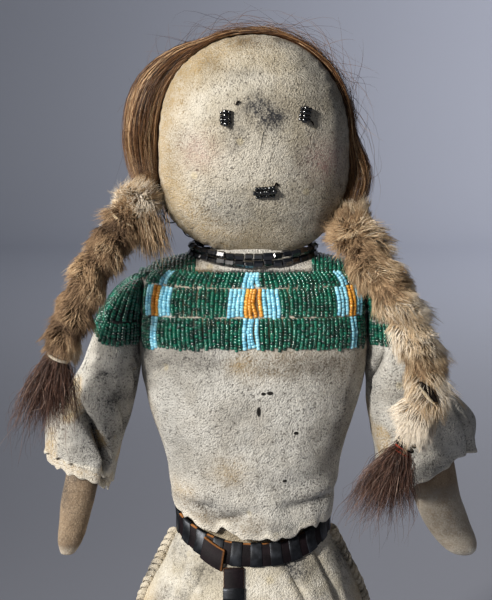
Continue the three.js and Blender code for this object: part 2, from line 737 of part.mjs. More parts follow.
// The hem is cut higher on the outer side of the sleeve, and so are the beads over its head.
const hemRise = (turn) => SLEEVE_SLANT * (0.5 + 0.5 * Math.cos(2 * Math.PI * (turn + 0.04))) ** 2;
const beadFoot = (turn) => 0.29 - 0.07 * Math.max(0, Math.cos(2 * Math.PI * turn)) ** 2;

function sleeve(side) {
  return (turn, share, out) => {
    const inner = armhole + sleeveInner[side](share) * SLEEVE_FLARE;
    const outer = armhole + sleeveOuter(share) * SLEEVE_FLARE;
    const angle = 2 * Math.PI * turn;
    const fold = 1 - 0.09 * sleeveFold(share) * (1 + Math.cos(3 * angle + Math.PI));
    const halfWidth = (outer - inner) / 2;
    const halfDepth = sleeveDeep(share) * SLEEVE_DEPTH / 2;
    const [x, y] = oval(turn, fold * halfWidth + out, fold * halfDepth + out, 2.2);
    const down = share * (1 - hemRise(turn) * share ** 2) * SLEEVE_LENGTH;
    return point(side * (outer - halfWidth + x + sway(side, down)), y, sleeveTop - down);
  };
}

const sleeveShares = [0.05, 0.18, 0.4, 0.6, 0.8, 1];

function sleeveWall(side) {
  const surface = sleeve(side);
  const outer = [0, ...sleeveShares].map((share) => ring(surface, share, 0, SLEEVE_SIDES));
  const inner = sleeveShares.map((share) => ring(surface, share, -DRESS_HIDE, SLEEVE_SIDES));
  return loft([...outer, ...inner.reverse()]);
}

function sleeveBeads(side) {
  return beadLane(sleeve(side), 0.62, 1.05, [() => 0.1, () => 0.18, beadFoot]);
}

const armCentre = through([[0.15, 0.2], [0.3, 0.3], [0.5, 0.48], [0.74, 0.64], [1, 0.8]]);
const armHalf = through([[0.15, 0.385], [0.2, 0.42], [0.5, 0.46], [0.72, 0.5], [0.9, 0.46], [0.97, 0.3], [1, 0.12]]);

function arm(side) {
  return loft([0.15, 0.2, 0.35, 0.5, 0.72, 0.82, 0.9, 0.97, 1].map((share) => {
    const down = share * ARM_LENGTH;
    const x = armhole + armCentre(share) * SLEEVE_FLARE + sway(side, down);
    return Array.from({ length: 12 }, (_, i) => {
      const [across, deep] = oval(i / 12, armHalf(share) * HAND_WIDTH, 0.85 * armHalf(share) * HAND_WIDTH, 2.2);
      return point(side * (x + across), deep, sleeveTop - down);
    });
  }));
}

// Legs, swinging under the body inside the skirt

const hipZ = SEAT_Z - FIT_GAP - LEG_WIDTH / 2;
const ankleZ = SOLE_HIDE + 0.5 * SHOE_HEIGHT;
const legHalf = through([
  [ankleZ, ANKLE_WIDTH / 2],
  [mix(ankleZ, hipZ, 0.45), mix(ANKLE_WIDTH, LEG_WIDTH, 0.75) / 2],
  [hipZ, LEG_WIDTH / 2],
]);

function legSolid(side, grow) {
  const rings = [0, 0.45, 0.8, 1].map((share) => mix(ankleZ - grow, hipZ, share)).map((z) => [z, legHalf(z)]);
  for (const rise of [0.35, 0.65, 0.88, 0.985]) {
    rings.push([hipZ + rise * LEG_WIDTH / 2, Math.sqrt(1 - rise * rise) * LEG_WIDTH / 2]);
  }
  return loft(rings.map(([z, radius]) => Array.from({ length: 14 }, (_, i) => {
    const [x, y] = oval(i / 14, radius + grow, radius + grow, 2);
    return point(side * STANCE / 2 + x, y, z);
  })));
}

function shoeOutline(shrink) {
  const toe = -SHOE_LENGTH * TOE_SHARE + shrink;
  const heel = SHOE_LENGTH * (1 - TOE_SHARE) - shrink;
  const ball = SHOE_WIDTH / 2 - shrink;
  const outline = new THREE.Shape();
  outline.moveTo(0, toe);
  outline.bezierCurveTo(ball, toe, ball * 1.25, toe * 0.35, ball * 0.82, heel * 0.35);
  outline.bezierCurveTo(ball * 0.8, heel * 0.9, ball * 0.5, heel, 0, heel);
  outline.bezierCurveTo(-ball * 0.5, heel, -ball * 0.8, heel * 0.9, -ball * 0.82, heel * 0.35);
  outline.bezierCurveTo(-ball * 1.25, toe * 0.35, -ball, toe, 0, toe);
  return outline;
}

function shoeSole(side) {
  const sole = new THREE.ExtrudeGeometry(shoeOutline(0), { depth: SOLE_HIDE, bevelEnabled: false, curveSegments: 5 });
  return sole.translate(side * STANCE / 2, 0, 0);
}

function shoeUpper(side) {
  const outline = shoeOutline(1.2).getPoints(5).slice(0, -1);
  const foot = SOLE_HIDE + FIT_GAP;
  const collar = ANKLE_WIDTH / 2 + 3;
  const rings = [[0, 0], [0.3, 0.06], [0.55, 0.3], [0.78, 0.75], [1, 1]].map(([share, draw]) => {
    return outline.map((p) => {
      const to = p.clone().normalize().multiplyScalar(collar);
      const flat = p.clone().lerp(to, draw);
      return point(side * STANCE / 2 + flat.x, flat.y, foot + share * SHOE_HEIGHT);
    });
  });
  return cut(loft(rings), legSolid(side, FIT_GAP));
}

// Assembly

const doll = new THREE.Group();
doll.name = "hide_doll";

function finish(colour, roughness, metalness = 0) {
  return () => new THREE.MeshStandardMaterial({ color: colour, roughness, metalness });
}

const paleHide = finish(0xd8cdb8, 0.92);
const tanHide = finish(0xb08d62, 0.82);
const faceHide = finish(0xdcc39a, 0.9);
const stuffing = finish(0xbcae95, 0.98);
const greenGlass = finish(0x0f3a33, 0.25);
const blackGlass = finish(0x14110f, 0.2);
const slateGlass = finish(0x232a33, 0.22);
const hairBrown = finish(0x5a2c1a, 0.6);
const furBrown = finish(0x9a7a55, 0.95);
const beltLeather = finish(0x2a1c16, 0.6);
const laceHide = finish(0xe0d5c2, 0.9);
const shoeHide = finish(0xc9b692, 0.9);

function bodyAt(name, pivot) {
  const group = new THREE.Group();
  group.name = name;
  group.position.copy(pivot);
  doll.add(group);
  return group;
}

function put(group, name, geometry, material) {
  const { x, y, z } = group.position;
  const plain = geometry.clone().translate(-x, -y, -z);
  plain.computeVertexNormals();
  const mesh = new THREE.Mesh(plain, material());
  mesh.name = name;
  group.add(mesh);
}

const trunk = bodyAt("trunk", point(0, 0, 0));
put(trunk, "body_torso", bodyTorso, stuffing);
put(trunk, "dress_front", dressFront, paleHide);
put(trunk, "dress_back", dressBack, paleHide);
["upper", "middle", "lower"].forEach((lane, i) => {
  put(trunk, `yoke_front_${lane}`, yokeFront[i], greenGlass);
  put(trunk, `yoke_back_${lane}`, yokeBack[i], greenGlass);
});
put(trunk, "neck", neck, paleHide);
put(trunk, "choker_upper", chokerUpper, slateGlass);
put(trunk, "choker_lower", chokerLower, slateGlass);
put(trunk, "belt", belt, beltLeather);
put(trunk, "belt_tongue", beltTongue, beltLeather);
put(trunk, "skirt_front", skirtFront, paleHide);
put(trunk, "skirt_back", skirtBack, paleHide);
put(trunk, "skirt_lacing_right", skirtLacingRight, laceHide);
put(trunk, "skirt_lacing_left", skirtLacingLeft, laceHide);

const head = bodyAt("head", point(0, 0, HEAD_SEAM_Z));
put(head, "head_face", headFace, faceHide);
put(head, "head_back", headBack, faceHide);
put(head, "head_stuffing", headStuffing, stuffing);
put(head, "eye_right", eyeRight, blackGlass);
put(head, "eye_left", eyeLeft, blackGlass);
put(head, "mouth", mouth, blackGlass);
put(head, "hair_scalp", hairScalp, hairBrown);
put(head, "hair_lock_right", hairLockRight, hairBrown);
put(head, "hair_lock_left", hairLockLeft, hairBrown);

for (const [side, name, parts] of [[RIGHT, "right", braidRight], [LEFT, "left", braidLeft]]) {
  const braid = bodyAt(`braid_${name}_body`, braidTop[side]);
  put(braid, `braid_hair_${name}`, parts.hair, hairBrown);
  put(braid, `fur_wrap_${name}`, parts.wrap, furBrown);
  put(braid, `wrap_tie_${name}`, parts.tie, paleHide);
  put(braid, `braid_tassel_${name}`, parts.tassel, hairBrown);

  const limb = bodyAt(`arm_${name}_body`, point(side * armhole, 0, sleeveTop));
  put(limb, `arm_${name}`, arm(side), tanHide);
  put(limb, `sleeve_${name}`, sleeveWall(side), paleHide);
  put(limb, `sleeve_beads_${name}`, sleeveBeads(side), greenGlass);

  const leg = bodyAt(`leg_${name}_body`, point(side * STANCE / 2, 0, hipZ));
  put(leg, `leg_${name}`, legSolid(side, 0), paleHide);
  put(leg, `moccasin_upper_${name}`, shoeUpper(side), shoeHide);
  put(leg, `moccasin_sole_${name}`, shoeSole(side), shoeHide);
}

const drop = bodyAt("belt_drop_body", dropPivot);
put(drop, "belt_drop", beltDrop, beltLeather);

doll.updateMatrixWorld(true);
const reach = new THREE.Box3().setFromObject(doll, true);
doll.position.set(-(reach.min.x + reach.max.x) / 2, -(reach.min.y + reach.max.y) / 2, -reach.min.z);
doll.updateMatrixWorld(true);

export default doll;
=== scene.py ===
import math

import bmesh
import bpy
import numpy as np
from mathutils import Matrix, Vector


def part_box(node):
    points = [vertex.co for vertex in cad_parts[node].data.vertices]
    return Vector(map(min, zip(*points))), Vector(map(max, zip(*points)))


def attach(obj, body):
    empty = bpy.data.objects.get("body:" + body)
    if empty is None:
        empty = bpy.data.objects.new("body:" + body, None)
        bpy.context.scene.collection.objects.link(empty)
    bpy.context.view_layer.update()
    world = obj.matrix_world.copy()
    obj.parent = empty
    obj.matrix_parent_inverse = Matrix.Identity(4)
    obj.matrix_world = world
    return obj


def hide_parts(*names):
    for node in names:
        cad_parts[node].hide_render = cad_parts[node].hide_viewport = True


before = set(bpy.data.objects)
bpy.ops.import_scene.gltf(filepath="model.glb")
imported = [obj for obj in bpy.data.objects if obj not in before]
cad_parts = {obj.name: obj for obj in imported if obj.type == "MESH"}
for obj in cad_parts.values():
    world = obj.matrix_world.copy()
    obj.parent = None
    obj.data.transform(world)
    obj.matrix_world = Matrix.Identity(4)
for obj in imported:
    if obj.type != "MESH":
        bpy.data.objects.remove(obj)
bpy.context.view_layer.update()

# The doll's own coordinates are millimetres from the axis of the body, on the floor.
# Left and right are the doll's own: the right side is at -X, and the doll faces -Y.
MM = 0.001
TAU = 2 * np.pi
RIGHT, LEFT = -1, 1
SIDE_NAMES = {RIGHT: "right", LEFT: "left"}
low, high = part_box("body_torso")
SHIFT = np.array([(low.x + high.x) / 2, (low.y + high.y) / 2, 0.0]) / MM

# Levels up the figure
HEM_Z, SEAT_Z, WAIST_Z, SHOULDER_Z = 68.0, 172.0, 214.0, 345.0
NECK_BASE_Z, HEAD_SEAM_Z, HEAD_Z = 350.5, 356.0, 406.5
BELT_WIDTH = 10.6
BELT_TOP, BELT_FOOT = WAIST_Z + BELT_WIDTH / 2, WAIST_Z - BELT_WIDTH / 2

# Half widths and depths
HIP_WIDE, HIP_DEEP = 37.0, 22.0
WAIST_WIDE, WAIST_DEEP = 37.0, 25.0
CHEST_WIDE, CHEST_DEEP = 56.0, 31.0
NECK_WIDE, NECK_DEEP = 27.0, 16.0
HEM_WIDE, HEM_DEEP = 70.0, 51.0
HEAD_WIDE, HEAD_TALL, HEAD_DEEP = 48.5, 53.5, 31.0
ANKLE_HALF, LEG_HALF = 10.5, 14.0

# Sizes of single pieces
ROW_PITCH, BEAD_LENGTH = 2.08, 1.42
CHOKER_BEADS, BELT_STRIPS, SKIRT_FOLDS = 36, 22, 10
CHOKER_WIDE, CHOKER_DEEP = 31.0, 22.0
BODICE_ROUND, SLEEVE_ROUND, SKIRT_ROUND = 290, 150, 400
WAIST_DROOP, FOLD_DEPTH, LACE_PITCH, STRIP_PITCH = 11.0, 3.2, 3.7, 12.6
ARMHOLE, SLEEVE_TOP, SLEEVE_LENGTH, SLEEVE_DEPTH, SLEEVE_FLARE = 56.6, 339.105, 108.0, 40.0, 51.0
ARM_LENGTH, HAND_WIDTH, ARM_SWAY = 147.0, 20.0, 14.0
STANCE, SOLE, SHOE_HEIGHT, SHOE_LENGTH, SHOE_WIDTH, TOE_SHARE = 42.0, 2.6, 24.0, 60.0, 27.0, 0.64
UPPER_FOOT, TOE_PUCKERS = 2.9, 36
BRAID_TOP = {RIGHT: np.array([-53.0, -4.0, 384.03]), LEFT: np.array([47.0, -8.0, 371.72])}
BRAID_Y = -44.0
BRAID_STEPS, LACE_STEPS = 120, 240
TALLEST_HAIR = 482.0


# Numbers and curves

def mix(a, b, share):
    return a + (b - a) * share


def smooth(share):
    share = np.clip(share, 0, 1)
    return share * share * (3 - 2 * share)


def bump(x, centre, half):
    return smooth(1 - np.abs(x - centre) / half)


def unit(vectors):
    return vectors / np.maximum(np.linalg.norm(vectors, axis=-1, keepdims=True), 1e-9)


def xyz(x, y, z):
    """Points from coordinates whose shapes may differ."""
    return np.stack(np.broadcast_arrays(x, y, z), -1)


def turns_round(columns):
    """One row of turns, one for each column round a form."""
    return np.arange(columns)[None] / columns


def through(stations):
    """A smooth curve through (place, value) stations, level beyond both ends."""
    xs, vs = np.array(stations, float).T
    last = len(xs) - 1
    before = np.maximum(np.arange(last + 1) - 1, 0)
    after = np.minimum(np.arange(last + 1) + 1, last)
    slopes = (vs[after] - vs[before]) / (xs[after] - xs[before])

    def value(at):
        x = np.clip(at, xs[0], xs[-1])
        i = np.clip(np.searchsorted(xs, x) - 1, 0, last - 1)
        span = xs[i + 1] - xs[i]
        t = (x - xs[i]) / span
        lead = t * (1 - t) ** 2 * slopes[i] + t * t * (t - 1) * slopes[i + 1]
        return mix(vs[i], vs[i + 1], smooth(t)) + span * lead

    return value


def lumps(points, size, seed):
    """Smooth noise between -1 and 1 at points, with features of this size."""
    table = np.random.default_rng(seed).uniform(-1, 1, (32, 32, 32))
    place = np.asarray(points, float) / size + 1000
    cell = np.floor(place).astype(int)
    part = smooth(place - cell)
    total = 0
    for corner in np.ndindex(2, 2, 2):
        weight = np.prod(np.where(corner, part, 1 - part), axis=-1)
        total = total + weight * table[tuple(np.moveaxis((cell + corner) % 32, -1, 0))]
    return total


def drift(points, size, seed):
    """Smooth noise in each direction."""
    return np.stack([lumps(points, size, seed + k) for k in range(3)], -1)


def pushed(points, push, centre=0.0, lean=(1, 1, 0)):
    """Points moved by push millimetres away from a centre, in the directions that lean lets through."""
    return points + unit((points - centre) * lean) * np.asarray(push)[..., None]


def oval(turn, half_width, half_depth, power):
    c, s = np.cos(TAU * turn), np.sin(TAU * turn)
    x = np.sign(c) * np.abs(c) ** (2 / power) * half_width
    y = np.sign(s) * np.abs(s) ** (2 / power) * half_depth
    return x, y


def lengths(line):
    """How far along a line each of its points is."""
    return np.r_[0, np.cumsum(np.linalg.norm(np.diff(line, axis=0), axis=1))]


def at_lengths(line, at):
    """Points at these distances along a line."""
    length = lengths(line)
    return np.stack([np.interp(at, length, line[:, k]) for k in range(line.shape[1])], -1)


def spline(points, count):
    """Evenly spaced points on a smooth curve through the given ones."""
    p = np.asarray(points, float)
    p = np.vstack([2 * p[0] - p[1], p, 2 * p[-1] - p[-2]])
    t = np.linspace(0, 1, 24, endpoint=False)[:, None]
    fine = [0.5 * (2 * b + (c - a) * t + (2 * a - 5 * b + 4 * c - d) * t ** 2
                   + (3 * b - a - 3 * c + d) * t ** 3)
            for a, b, c, d in zip(p, p[1:], p[2:], p[3:])]
    fine = np.vstack([*fine, p[-2]])
    return at_lengths(fine, np.linspace(0, lengths(fine)[-1], count))


def frame_along(path):
    """Unit vectors along a path, across it and through its depth, which leans to +Y."""
    along = unit(np.gradient(path, axis=-2))
    depth = unit(np.array([0.0, 1.0, 0.0]) - along * along[..., 1:2])
    return along, np.cross(along, depth), depth


# Meshes

def grid_faces(rows, columns, wrap=True, wrap_rows=False):
    r = np.arange(rows if wrap_rows else rows - 1)[:, None]
    c = np.arange(columns if wrap else columns - 1)[None]
    a, b = r * columns + c, r * columns + (c + 1) % columns
    over = ((r + 1) % rows - r) * columns
    return np.stack([a, b, b + over, a + over], -1).reshape(-1, 4)


def closed_rings(rings):
    """Points and faces of a solid through rings of equal size, with a middle point at each end."""
    rings = np.asarray(rings, float)
    rows, columns = rings.shape[:2]
    count = rows * columns
    points = np.vstack([rings.reshape(-1, 3), rings[0].mean(0), rings[-1].mean(0)])
    faces = grid_faces(rows, columns).tolist()
    for i in range(columns):
        j = (i + 1) % columns
        faces.append([j, i, count])
        faces.append([count - columns + i, count - columns + j, count + 1])
    return points, faces


def tube(path, wide, deep, sides):
    """Rings round a path with these half widths across it and through its depth."""
    _, across, depth = frame_along(path)
    angle = TAU * np.arange(sides) / sides
    wide, deep = (np.broadcast_to(v, len(path))[:, None, None] for v in (wide, deep))
    wide_part = across[:, None] * np.cos(angle)[None, :, None] * wide
    return path[:, None] + wide_part + depth[:, None] * np.sin(angle)[None, :, None] * deep


def coil(centre, along, across, depth, radii, lean, thick, broad, upright):
    """One turn of thong round a centre; its section is thick outward and broad along."""
    angle = TAU * np.arange(len(lean)) / len(lean)
    spoke = radii[0] * np.cos(angle)[:, None] * across + radii[1] * np.sin(angle)[:, None] * depth
    tilted = spoke + along * lean[:, None]
    out = unit(spoke if upright else tilted)
    b = TAU * np.arange(8) / 8
    section = out[:, None] * (thick * np.cos(b))[None, :, None] + along * (broad * np.sin(b))[None, :, None]
    return (centre + tilted)[:, None] + section, grid_faces(len(lean), 8, wrap_rows=True)


def together(parts):
    """One set of points and faces from several."""
    points, faces, start = [], [], 0
    for p, f in parts:
        points.append(np.asarray(p, float).reshape(-1, 3))
        faces += [[i + start for i in face] for face in (f.tolist() if isinstance(f, np.ndarray) else f)]
        start += len(points[-1])
    return np.vstack(points), faces


def outward(mesh):
    """Turns the faces of a closed mesh so that they look out."""
    work = bmesh.new()
    work.from_mesh(mesh)
    bmesh.ops.recalc_face_normals(work, faces=work.faces)
    work.to_mesh(mesh)
    work.free()


def piece(name, points, faces, paints, body, slot, stands=(), thick=0.0, sub=0, values=None, uv=None,
          index=None, soft=True, stuffed=0.0, closed=True):
    """Makes one piece from points in millimetres and hangs it on its body."""
    mesh = bpy.data.meshes.new(name)
    place = (np.asarray(points, float).reshape(-1, 3) + SHIFT) * MM
    if isinstance(faces, np.ndarray):
        mesh.vertices.add(len(place))
        mesh.vertices.foreach_set("co", place.ravel())
        mesh.loops.add(faces.size)
        mesh.loops.foreach_set("vertex_index", faces.ravel().astype(np.int32))
        mesh.polygons.add(len(faces))
        mesh.polygons.foreach_set("loop_start", (np.arange(len(faces)) * faces.shape[1]).astype(np.int32))
        mesh.update(calc_edges=True)
    else:
        mesh.from_pydata(place.tolist(), [], faces)
    if closed and thick == 0 and uv is None:
        outward(mesh)
    for paint in paints if isinstance(paints, (list, tuple)) else [paints]:
        mesh.materials.append(paint)
    if index is not None:
        mesh.polygons.foreach_set("material_index", np.asarray(index, np.int32))
    mesh.polygons.foreach_set("use_smooth", np.full(len(mesh.polygons), soft))
    obj = bpy.data.objects.new(name, mesh)
    bpy.context.scene.collection.objects.link(obj)
    if stuffed:
        stuff(obj, stuffed)
    for key, value in (values or {}).items():
        layer = mesh.attributes.new(key, "FLOAT", "POINT")
        layer.data.foreach_set("value", np.asarray(value, np.float32).ravel())
    if uv is not None:
        corners = np.empty(len(mesh.loops), np.int32)
        mesh.loops.foreach_get("vertex_index", corners)
        layer = mesh.uv_layers.new(name="OFBake")
        layer.data.foreach_set("uv", np.asarray(uv, np.float32)[corners].ravel())
    if thick:
        shell = obj.modifiers.new("hide", "SOLIDIFY")
        shell.thickness, shell.offset = thick * MM, -1
    if sub:
        finer = obj.modifiers.new("finer", "SUBSURF")
        finer.levels = finer.render_levels = sub
    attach(obj, body)
    if stands:
        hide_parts(*stands)
    return obj


def stuff(obj, cap, pressure=4, steps=20):
    """Fills a closed hide form with a short cloth run; no point moves further than cap millimetres."""
    scene = bpy.context.scene
    before = np.empty(len(obj.data.vertices) * 3, np.float32)
    obj.data.vertices.foreach_get("co", before)
    cloth = obj.modifiers.new("stuffing", "CLOTH")
    cloth.settings.use_pressure = True
    cloth.settings.uniform_pressure_force = pressure
    cloth.settings.effector_weights.gravity = 0
    cloth.settings.quality = 4
    for step in range(1, steps + 1):
        scene.frame_set(step)
    filled = obj.evaluated_get(bpy.context.evaluated_depsgraph_get()).to_mesh()
    after = np.empty_like(before)
    filled.vertices.foreach_get("co", after)
    obj.modifiers.remove(cloth)
    scene.frame_set(1)
    move = (after - before).reshape(-1, 3)
    far = np.linalg.norm(move, axis=1, keepdims=True)
    move *= np.minimum(1, cap * MM / np.maximum(far, 1e-9))
    obj.data.vertices.foreach_set("co", before + move.ravel())
    obj.data.update()


def strands(paths, width, seed):
    """Closed three-sided hairs along paths, an array of (hair, step, xyz), thin at the tip."""
    count, steps = paths.shape[:2]
    rng = np.random.default_rng(seed)
    along = unit(np.gradient(paths, axis=1))
    side = unit(np.cross(along, unit(rng.normal(size=(count, 1, 3)))))
    up = np.cross(along, side)
    shape = np.interp(np.linspace(0, 1, steps), [0, 0.15, 0.6, 1], [0.8, 1, 0.8, 0.15])
    radius = (np.broadcast_to(width, (count,))[:, None] * shape / 2)[..., None, None]
    angle = TAU * np.arange(3)[:, None] / 3
    points = paths[:, :, None] + radius * (side[:, :, None] * np.cos(angle) + up[:, :, None] * np.sin(angle))
    quads = grid_faces(steps, 3)
    last = 3 * (steps - 1)
    one = np.vstack([quads[:, [0, 1, 2]], quads[:, [0, 2, 3]], [[0, 2, 1], [last, last + 1, last + 2]]])
    faces = (one[None] + (np.arange(count) * steps * 3)[:, None, None]).reshape(-1, 3)
    return points.reshape(-1, 3), faces


def strand_map(tone, along):
    """The map that strand paint reads: tone one way, the place along a hair the other."""
    return np.stack([np.clip(tone, 0.02, 0.98), along], -1)


def hair_piece(name, paths, width, tone, paint, body, slot, seed, stands=()):
    """One piece of many hairs."""
    count, steps = paths.shape[:2]
    along = np.tile(np.repeat(np.linspace(0.02, 0.98, steps), 3), count)
    uv = strand_map(np.repeat(tone, steps * 3), along)
    return piece(name, *strands(paths, width, seed), paint, body, slot, stands, uv=uv, closed=False)


# Paints

def rgb(code):
    parts = [int(code[i:i + 2], 16) / 255 for i in (0, 2, 4)]
    return tuple(p / 12.92 if p <= 0.04045 else ((p + 0.055) / 1.055) ** 2.4 for p in parts) + (1.0,)


class Paint:
    """A node material, from the object's own coordinates to the shader."""

    def __init__(self, name, **sockets):
        self.material = bpy.data.materials.new(name)
        self.material.use_nodes = True
        tree = self.material.node_tree
        self.nodes, self.links = tree.nodes, tree.links
        self.shader = self.nodes["Principled BSDF"]
        for key, value in sockets.items():
            self.shader.inputs[key.replace("_", " ")].default_value = value
        self.where = self.node("TexCoord", "Object")

    def node(self, kind, output=0, settings=None, **inputs):
        """Adds a node; inputs are named, or numbered as _0, _1 and so on."""
        made = self.nodes.new("ShaderNode" + kind)
        for key, value in (settings or {}).items():
            setattr(made, key, value)
        for key, value in inputs.items():
            socket = made.inputs[int(key[1:]) if key[1:].isdigit() else key.replace("_", " ")]
            if isinstance(value, bpy.types.NodeSocket):
                self.links.new(value, socket)
            else:
                socket.default_value = value
        return made.outputs[output]

    def noise(self, size, detail=3.0, rough=0.6, stretch=None):
        """Noise with features of this size in millimetres."""
        place = self.vector("MULTIPLY", self.where, stretch) if stretch else self.where
        return self.node("TexNoise", Vector=place, Scale=1 / (size * MM), Detail=detail, Roughness=rough)

    def cells(self, where, size):
        return self.node("TexVoronoi", "Distance", Vector=where, Scale=1 / (size * MM))

    def steps(self, value, start, end):
        return self.node("MapRange", settings={"interpolation_type": "SMOOTHSTEP"},
                         Value=value, From_Min=start, From_Max=end)

    def between(self, value, least, most):
        return self.node("MapRange", Value=value, To_Min=least, To_Max=most)

    def calc(self, operation, *values, clamp=False):
        inputs = {f"_{i}": value for i, value in enumerate(values)}
        return self.node("Math", settings={"operation": operation, "use_clamp": clamp}, **inputs)

    def vector(self, operation, *values, output=0):
        inputs = {f"_{i}": value for i, value in enumerate(values)}
        return self.node("VectorMath", output, {"operation": operation}, **inputs)

    def share(self, name):
        return self.node("Attribute", "Fac", {"attribute_name": name})

    def mixed(self, factor, a, b):
        return self.node("Mix", 2, {"data_type": "RGBA"}, _0=factor, _6=a, _7=b)

    def tinted(self, factor, strength, colour, code):
        return self.mixed(self.calc("MULTIPLY", factor, strength), colour, rgb(code))

    def colours(self, value, stops):
        made = self.node("ValToRGB", Fac=value)
        ramp = made.node.color_ramp
        for _ in range(len(stops) - 2):
            ramp.elements.new(0.5)
        for element, (place, code) in zip(ramp.elements, stops):
            element.position, element.color = place, rgb(code)
        return made

    def raised(self, height, strength, distance):
        made = self.node("Bump", Height=height, Strength=strength, Distance=distance * MM)
        self.links.new(made, self.shader.inputs["Normal"])

    def done(self, colour, roughness=None):
        self.links.new(colour, self.shader.inputs["Base Color"])
        if roughness is not None:
            self.links.new(roughness, self.shader.inputs["Roughness"])
        return self.material


STAINS_AND_PAINTED_LIGHT = (("38383a", "soot_and_shade"), ("c6a56a", "warm"), ("c08b86", "blush"), ("e6dfd0", "raw_and_light"))


def hide_paint(name, light, dark, speck, speckled=0.5, cloud=26, grain=0.85, relief=1.4, holes=()):
    """Brain-tanned hide: cloudy and napped, with painted shade in its pits and a painted highlight on its
    raised nap; soot and painted shade, yellowing, blush, raw edges and painted light where the mesh says.
    """
    p = Paint(name, Roughness=0.93, Sheen_Weight=0.1, Sheen_Roughness=0.6, Specular_IOR_Level=0.2)
    broad, blotch, patch = p.noise(cloud, 5, 0.65), p.noise(6, 5, 0.7), p.noise(3.4, 4, 0.7)
    wobble = p.node("TexNoise", "Color", Vector=p.where, Scale=1 / (0.9 * MM))
    pebbles = p.cells(p.vector("MULTIPLY_ADD", wobble, (0.6 * MM,) * 3, p.where), grain)
    nap = p.node("Mix", 0, {"data_type": "FLOAT"}, _0=0.35, _2=p.noise(1.2 * grain, 5, 0.7), _3=pebbles)
    colour = p.mixed(p.steps(broad, 0.36, 0.66), rgb(light), rgb(dark))
    colour = p.tinted(p.steps(blotch, 0.48, 0.72), 0.5 * speckled, colour, speck)
    # painted shade: the pits of the grain, where the bump sinks, are painted dark
    pitted = p.calc("MULTIPLY", p.steps(nap, 0.5, 0.68), p.steps(patch, 0.34, 0.6))
    colour = p.tinted(pitted, 1.5 * speckled, colour, speck)
    # painted highlight: the raised nap, where the bump rises, is painted paler
    colour = p.tinted(p.steps(nap, 0.48, 0.3), 0.5 * speckled, colour, "f0ebdd")
    flecks = p.calc("ADD", p.cells(p.where, 17), p.calc("MULTIPLY", nap, 0.12))
    colour = p.tinted(p.steps(flecks, 0.2, 0.13), 0.6 * speckled, colour, "dccb9c")
    uneven = p.calc("MULTIPLY_ADD", nap, 3.0, p.calc("MULTIPLY", p.calc("SUBTRACT", blotch, 0.7), 2.5))
    for tint, key in STAINS_AND_PAINTED_LIGHT:
        colour = p.mixed(p.calc("MULTIPLY", p.share(key), uneven, clamp=True), colour, rgb(tint))
    # painted shade: each hole is painted near-black on the front
    for x, z, wide, tall in holes:
        spot = (np.array([x, 0.0, z]) + SHIFT) * MM
        offset = p.vector("SUBTRACT", p.where, (spot[0], 0, spot[2]))
        scaled = p.vector("MULTIPLY", offset, (1 / (wide * MM), 1, 1 / (tall * MM)))
        ragged = p.calc("ADD", p.vector("LENGTH", scaled, output="Value"), p.calc("MULTIPLY", nap, 0.5))
        front = p.steps(p.node("SeparateXYZ", "Y", Vector=p.where), 0.0, -0.004)
        colour = p.mixed(p.calc("MULTIPLY", p.steps(ragged, 1.25, 0.95), front), colour, rgb("17120e"))
    p.raised(p.calc("MULTIPLY_ADD", nap, -1.0, blotch), 1.0, relief)
    return p.done(colour, p.between(blotch, 0.82, 1.0))


def glass_paint(name, dark, light, clear=0.08, bloom=0.15, coat=0.05):
    """Glass beads, each of its own tone, with a thread-worn bloom."""
    p = Paint(name, Roughness=clear, Coat_Weight=0.6, Coat_Roughness=coat, Coat_IOR=1.6, IOR=1.6)
    tone = p.calc("ADD", p.share("tone"), p.calc("MULTIPLY", p.noise(0.8, 2), 0.25))
    return p.done(p.mixed(p.steps(tone, 0.1, 1.1), rgb(dark), rgb(light)),
                  p.between(p.noise(2.5), clear, clear + bloom))


def strand_paint(name, codes, places, root, roughness=0.5):
    """Hair or fur whose map gives its tone and the place along it."""
    p = Paint(name, Roughness=roughness, Specular_IOR_Level=0.4)
    uv = p.node("UVMap", settings={"uv_map": "OFBake"})
    place = p.node("SeparateXYZ", 0, Vector=uv)
    streak = p.calc("MULTIPLY_ADD", p.node("TexNoise", Vector=uv, Scale=30.0), 0.3, place)
    colour = p.colours(p.calc("SUBTRACT", streak, 0.15), list(zip(places, codes.split())))
    shade = p.node("MapRange", Value=place.node.outputs["Y"], From_Max=0.55, To_Min=root, To_Max=0.0)
    return p.done(p.mixed(shade, colour, rgb("1d120b")))


def leather_paint():
    p = Paint("belt_leather", Roughness=0.5, Specular_IOR_Level=0.15)
    broad, fine = p.noise(7, 4), p.noise(0.5, 3)
    colour = p.mixed(p.steps(broad, 0.35, 0.7), rgb("0f0a0d"), rgb("1e1519"))
    colour = p.tinted(p.share("raw_and_light"), p.steps(broad, 0.25, 0.5), colour, "a8703f")
    p.raised(p.calc("ADD", fine, broad), 0.35, 0.3)
    return p.done(colour, p.between(broad, 0.42, 0.7))


def metal_paint():
    p = Paint("strip_metal", Metallic=0.6, Roughness=0.45)
    broad, scratch = p.noise(6, 4), p.noise(1.2, 4, 0.7, (1.0, 1.0, 0.12))
    p.raised(scratch, 0.25, 0.15)
    colour = p.mixed(p.steps(broad, 0.4, 0.7), rgb("1c1e22"), rgb("3b3e44"))
    return p.done(colour, p.between(scratch, 0.28, 0.6))


def thread_paint(name, dark, light):
    p = Paint(name, Roughness=0.85, Specular_IOR_Level=0.15)
    return p.done(p.mixed(p.steps(p.noise(0.6, 3), 0.35, 0.65), rgb(dark), rgb(light)))
